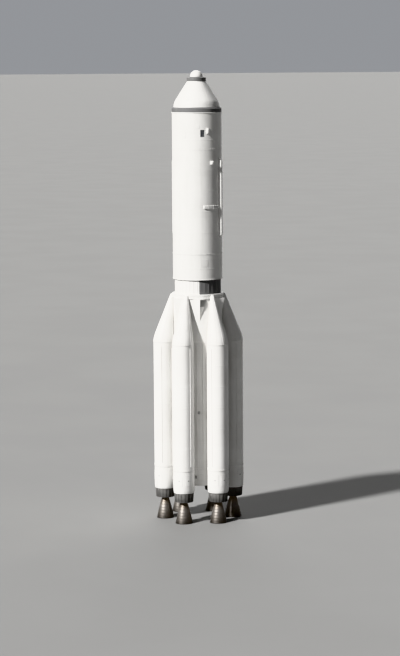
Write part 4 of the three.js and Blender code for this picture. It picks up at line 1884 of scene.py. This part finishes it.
@dataclass
class PayloadSection(Assembly):
    """The payload section with its recessed window, blister, hatches and bright top ring."""

    rings: tuple[float, float] = (0.06, 0.75)
    ring_lift: float = 0.008
    window_azimuth: float = 9.5
    window_width: float = 0.36
    window_low: float = 29.0
    window_high: float = 29.58
    window_depth: float = 0.07
    pane: float = 0.025
    pane_gap: float = 0.0006
    blister_azimuth: float = 22.0
    blister_width: float = 0.3
    blister_reach: float = 0.16
    facets: int = 175
    window_facets: int = 6
    foot_screws: int = 144
    top_screws: int = 96
    hatches: tuple[tuple[float, float, float, float], ...] = (
        # azimuth, foot above the section's own, height, width
        (-36.0, 0.95, 0.5, 0.42), (48.0, 1.05, 0.42, 0.3), (-2.0, 1.7, 0.3, 0.3),
        (144.0, 0.95, 0.5, 0.42), (228.0, 1.6, 0.5, 0.42),
    )

    def build(self) -> None:
        """Builds the section, the window and the blister."""
        self.skin()
        self.window()
        self.blister("payload_blister", self.blister_azimuth, self.blister_width, self.blister_reach)

    def skin(self) -> None:
        """Builds the skin with its hatches, screws and the window's opening."""
        paint, radius = self.paint, self.sizes.core_r
        low, high = span("payload_section")
        foot_ring = low + self.rings[0]
        side = banded(radius, low, self.window_low, [foot_ring, low + self.rings[1]], self.ring_lift)
        sill = len(side) - 1
        side += [(radius, self.window_high), *PAYLOAD_LIP.rows(radius, high)]
        draft = Draft("payload_skin", paint.upper_white)
        self.pierced(draft, side, sill)
        for azimuth, foot, height, width in self.hatches:
            start = low + foot
            draft.plate(Plate(azimuth, start, start + height, width, corner=0.06), radius)
        self.fit(draft.done(), "payload_section")
        lip_middle = high - PAYLOAD_LIP.height / 2
        screws = self.ring_places(radius + self.ring_lift, foot_ring, self.foot_screws)
        screws += self.ring_places(radius + PAYLOAD_LIP.reach, lip_middle, self.top_screws)
        self.fasten("payload_screws", screws, Fastener.NOSE_RIVET, paint.upper_white)

    def pierced(self, draft: Draft, side: Profile, sill: int) -> None:
        """Turns the section's profile into a closed skin with the window's recess in it.

        Args:
            draft: The piece that it becomes part of.
            side: The skin's profile from its foot to its top.
            sill: Which row of the profile is the recess's lower edge.
        """
        radius, add, join = self.sizes.core_r, draft.mesh.verts.new, draft.mesh.faces.new
        half_turn = math.degrees(self.window_width / 2 / radius)
        left, right = self.window_azimuth - half_turn, self.window_azimuth + half_turn
        turns = spread(right, left + 360.0, self.facets + 1)
        turns += spread(left, right, self.window_facets + 1)[1:-1]
        grid = [[add(polar(turn, reach, height)) for turn in turns] for reach, height in side]
        count = len(turns)
        for i in range(len(side) - 1):
            for k in range(count):
                if i != sill or k < self.facets:
                    after = (k + 1) % count
                    join((grid[i][k], grid[i][after], grid[i + 1][after], grid[i + 1][k]))
        join(list(reversed(grid[0])))
        join(grid[-1])
        around = [k % count for k in range(self.facets, count + 1)]
        floor = radius - self.window_depth
        lower, upper = ([grid[row][k] for k in around] for row in (sill, sill + 1))
        edges = (self.window_low, self.window_high)
        deep_low, deep_high = ([add(polar(turns[k], floor, edge)) for k in around] for edge in edges)
        for i in range(len(around) - 1):
            join((lower[i], lower[i + 1], deep_low[i + 1], deep_low[i]))
            join((upper[i + 1], upper[i], deep_high[i], deep_high[i + 1]))
            join((deep_low[i], deep_low[i + 1], deep_high[i + 1], deep_high[i]))
        join((lower[0], deep_low[0], deep_high[0], upper[0]))
        join((lower[-1], upper[-1], deep_high[-1], deep_low[-1]))

    def window(self) -> None:
        """Builds the dark pane on the recess's floor."""
        gap = self.pane_gap
        low, high, width = self.window_low + gap, self.window_high - gap, self.window_width - 2 * gap
        draft = Draft("sensor_pane", self.paint.glass)
        pane = Plate(self.window_azimuth, low, high, width, self.pane, 0.02)
        draft.plate(pane, self.sizes.core_r - self.window_depth + gap, sink=0.0)
        self.fit(draft.done(), "sensor_window", slot=Slot.DARK)


@dataclass
class Nose(Assembly):
    """The dark joint ring, the cone, the grey collar and the white cap."""

    ring_r: float = 2.058
    ring_height: float = 0.3
    ring_top_r: float = 1.93
    base_r: float = 1.9
    base_screws: int = 96
    cone_seams: int = 12
    seam_rivets: int = 16
    shoulder: tuple[tuple[float, float], ...] = (
        # radius, height
        (1.885, 31.61), (1.864, 31.7), (1.84, 31.785), (1.812, 31.87), (1.78, 31.935),
        (1.735, 32.01), (1.66, 32.13),
    )
    slant_foot: float = 32.38
    slant_foot_r: float = 1.505
    slant_top_r: float = 0.74
    collar_r: float = 0.79
    collar_top_r: float = 0.58
    collar_groove: float = 0.015
    collar_screws: int = 48
    cap_r: float = 0.52
    cap_rim: float = 0.03

    def build(self) -> None:
        """Builds the four pieces from below."""
        self.joint_ring()
        self.cone()
        self.collar()
        self.cap()

    def joint_ring(self) -> None:
        """Builds the dark ring under the cone."""
        low, high = span("nose_joint_ring")
        reach, top = self.ring_r, low + self.ring_height
        draft = Draft("joint_ring_skin", self.paint.dark)
        side = [
            (reach - 0.004, low), (reach, low + 0.004), (reach, top - 0.01), (reach - 0.008, top),
            (self.ring_top_r + 0.005, high - 0.006), (self.ring_top_r, high),
        ]
        draft.lathe(closed_skin(side), Quality.CORE)
        self.fit(draft.done(), "nose_joint_ring", slot=Slot.DARK)

    def slant(self, share: float) -> tuple[float, float]:
        """Gives the cone's radius and height at a share of the way up its slant.

        Args:
            share: The share, from 0 at the foot to 1 at the top.

        Returns:
            The radius and the height.
        """
        top = span("nose_cone")[1]
        reach = self.slant_foot_r + (self.slant_top_r - self.slant_foot_r) * share
        return reach, self.slant_foot + (top - self.slant_foot) * share

    def cone(self) -> None:
        """Builds the cone with its bright base strip, seams and screws."""
        paint, base = self.paint, self.base_r
        low, high = span("nose_cone")
        draft = Draft("cone_skin", paint.upper_white)
        strip = [(base - 0.004, low), (base, low + 0.004), (base, low + 0.09), (base - 0.011, low + 0.11)]
        side = [*strip, *self.shoulder, *(self.slant(share) for share in spread(0.0, 1.0, 7))]
        draft.lathe(closed_skin(side), Quality.CORE)
        lean = (self.slant_foot_r - self.slant_top_r) / (high - self.slant_foot)
        rivets = []
        for k in range(self.cone_seams):
            turn = FIRST_SIDE_AZIMUTH + 360.0 * k / self.cone_seams
            path = [polar(turn, reach - 0.004, height) for reach, height in side[len(strip) - 1:]]
            draft.pipe(path, 0.01, 8)
            facing = (polar(turn, 1.0, 0.0) + UP * lean).normalized()
            for reach, height in map(self.slant, spread(0.04, 0.97, self.seam_rivets)):
                rivets.append((polar(turn + math.degrees(0.04 / reach), reach, height), facing))
        self.fit(draft.done(), "nose_cone")
        rivets += self.ring_places(base, low + 0.055, self.base_screws)
        self.fasten("cone_rivets", rivets, Fastener.CONE_RIVET, paint.upper_white)

    def collar(self) -> None:
        """Builds the grey collar with a groove and screws."""
        paint, reach, bed = self.paint, self.collar_r, self.collar_r - self.collar_groove
        low, high = span("nose_collar")
        draft = Draft("collar_skin", paint.grey)
        side = [
            (reach, low), (reach, low + 0.1), (bed, low + 0.115), (bed, low + 0.15), (reach, low + 0.165),
            (reach, high - 0.07), (reach - 0.05, high - 0.048),
            (self.collar_top_r + 0.004, high - 0.002), (self.collar_top_r, high),
        ]
        draft.lathe(closed_skin(side), Quality.TANK)
        self.fit(draft.done(), "nose_collar", slot=Slot.DARK)
        screws = self.ring_places(reach, low + 0.05, self.collar_screws)
        self.fasten("collar_screws", screws, Fastener.DOOR_SCREW, paint.bolt, Slot.METAL)

    def cap(self) -> None:
        """Builds the domed white cap."""
        low, high = span("nose_cap")
        foot = low + self.cap_rim
        draft = Draft("nose_cap_skin", self.paint.upper_white)
        turns = spread(0.0, math.pi / 2, 14)[:-1]
        dome = [(self.cap_r * math.cos(turn), foot + (high - foot) * math.sin(turn)) for turn in turns]
        draft.lathe([(0.0, low), (self.cap_r, low), *dome, (0.0, high)], Quality.ENGINE)
        self.fit(draft.done(), "nose_cap")


@dataclass
class Studio:
    """The plain floor, the soft light and the camera."""

    level: float
    floor_reach: float = 15000.0
    away: float = 174.4
    camera_azimuth: float = -3.7
    camera_height: float = 34.62
    pitch: float = 7.06
    yaw: float = 0.052
    roll: float = -0.39
    lens: float = 115.24
    lamp_colour: Colour = (1.0, 0.99, 0.975)
    lamps: tuple[tuple[str, float, float, float, float], ...] = (
        # name, azimuth, elevation, strength, how wide it looks in degrees
        ("key", -54.0, 34.0, 7.0, 5.0), ("fill", 165.0, 25.0, 1.6, 60.0),
    )
    sky_tint: Colour = (0.92, 0.95, 1.0)
    sky_strength: float = 0.07
    backdrop_strength: float = 0.36

    def build(self) -> None:
        """Sets up the floor, the lamps, the world and the camera."""
        self.floor()
        self.far_lamps()
        self.sky()
        self.camera()

    def floor(self) -> None:
        """Lays a wide plain floor at its level."""
        data = bpy.data.meshes.new("floor")
        signs = ((-1, -1), (1, -1), (1, 1), (-1, 1))
        corners = [(x * self.floor_reach, y * self.floor_reach, self.level) for x, y in signs]
        data.from_pydata(corners, [], [(0, 1, 2, 3)])
        data.materials.append(FloorFinish("floor_finish").make())
        self.stage("floor", data)

    @staticmethod
    def stage(name: str, data: bpy.types.ID) -> bpy.types.Object:
        """Makes an object for the floor, a lamp or the camera, at the origin.

        Args:
            name: The object's name.
            data: Its mesh, light or camera.

        Returns:
            The object.
        """
        made = placed(name, data)
        return made

    def far_lamps(self) -> None:
        """Adds the lamps, so far away that all of a lamp's light comes from one direction."""
        for name, azimuth, elevation, strength, width in self.lamps:
            lamp = bpy.data.lights.new(name, "SUN")
            lamp.energy, lamp.angle, lamp.color = strength, math.radians(width), self.lamp_colour
            rise = math.radians(elevation)
            source = polar(azimuth, math.cos(rise), math.sin(rise))
            self.stage(name, lamp).rotation_euler = source.to_track_quat("Z", "Y").to_euler()

    def sky(self) -> None:
        """Adds an even world that the camera sees as a pale backdrop."""
        world = bpy.data.worlds.new("even_sky")
        world.use_nodes = True
        desk = Desk(world.node_tree)
        desk.tree.nodes.clear()
        even, backdrop = (
            desk.add("ShaderNodeBackground", values={"Color": (*self.sky_tint, 1.0), "Strength": strength})
            for strength in (self.sky_strength, self.backdrop_strength)
        )
        seen = desk.add("ShaderNodeLightPath").outputs["Is Camera Ray"]
        mixed = desk.add("ShaderNodeMixShader", values={0: seen, 1: even, 2: backdrop})
        desk.add("ShaderNodeOutputWorld", values={"Surface": mixed})
        bpy.context.scene.world = world
        bpy.context.scene.view_settings.view_transform = "Khronos PBR Neutral"

    def camera(self) -> None:
        """Places the camera where the photo was taken from."""
        data = bpy.data.cameras.new("camera")
        data.lens, data.sensor_width, data.clip_end = self.lens, 36.0, 2 * self.floor_reach
        made = self.stage("camera", data)
        made.location = polar(self.camera_azimuth, self.away, self.camera_height)
        heading = Matrix.Rotation(math.radians(self.camera_azimuth - self.yaw), 4, "Z")
        tilt = Matrix.Rotation(math.radians(90.0 - self.pitch), 4, "X")
        lean = Matrix.Rotation(math.radians(self.roll), 4, "Z")
        made.rotation_euler = (heading @ tilt @ lean).to_euler()
        bpy.context.scene.camera = made


def main() -> None:
    """Builds the whole rocket and its stage in order."""
    logging.basicConfig(level=logging.INFO, format="%(message)s")
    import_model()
    sizes = Sizes.from_frame()
    shared = (sizes, Finishes(sizes), Repeat(Head.BOLT), Repeat(Head.RIB))
    for kind in (CoreStage, SideBlocks, Engines, Interstage, SecondStage, PayloadSection, Nose):
        LOG.info("building %s", kind.__name__)
        kind(*shared).build()
    Studio(sizes.nozzle_exit).build()


if __name__ == "__main__":
    main()
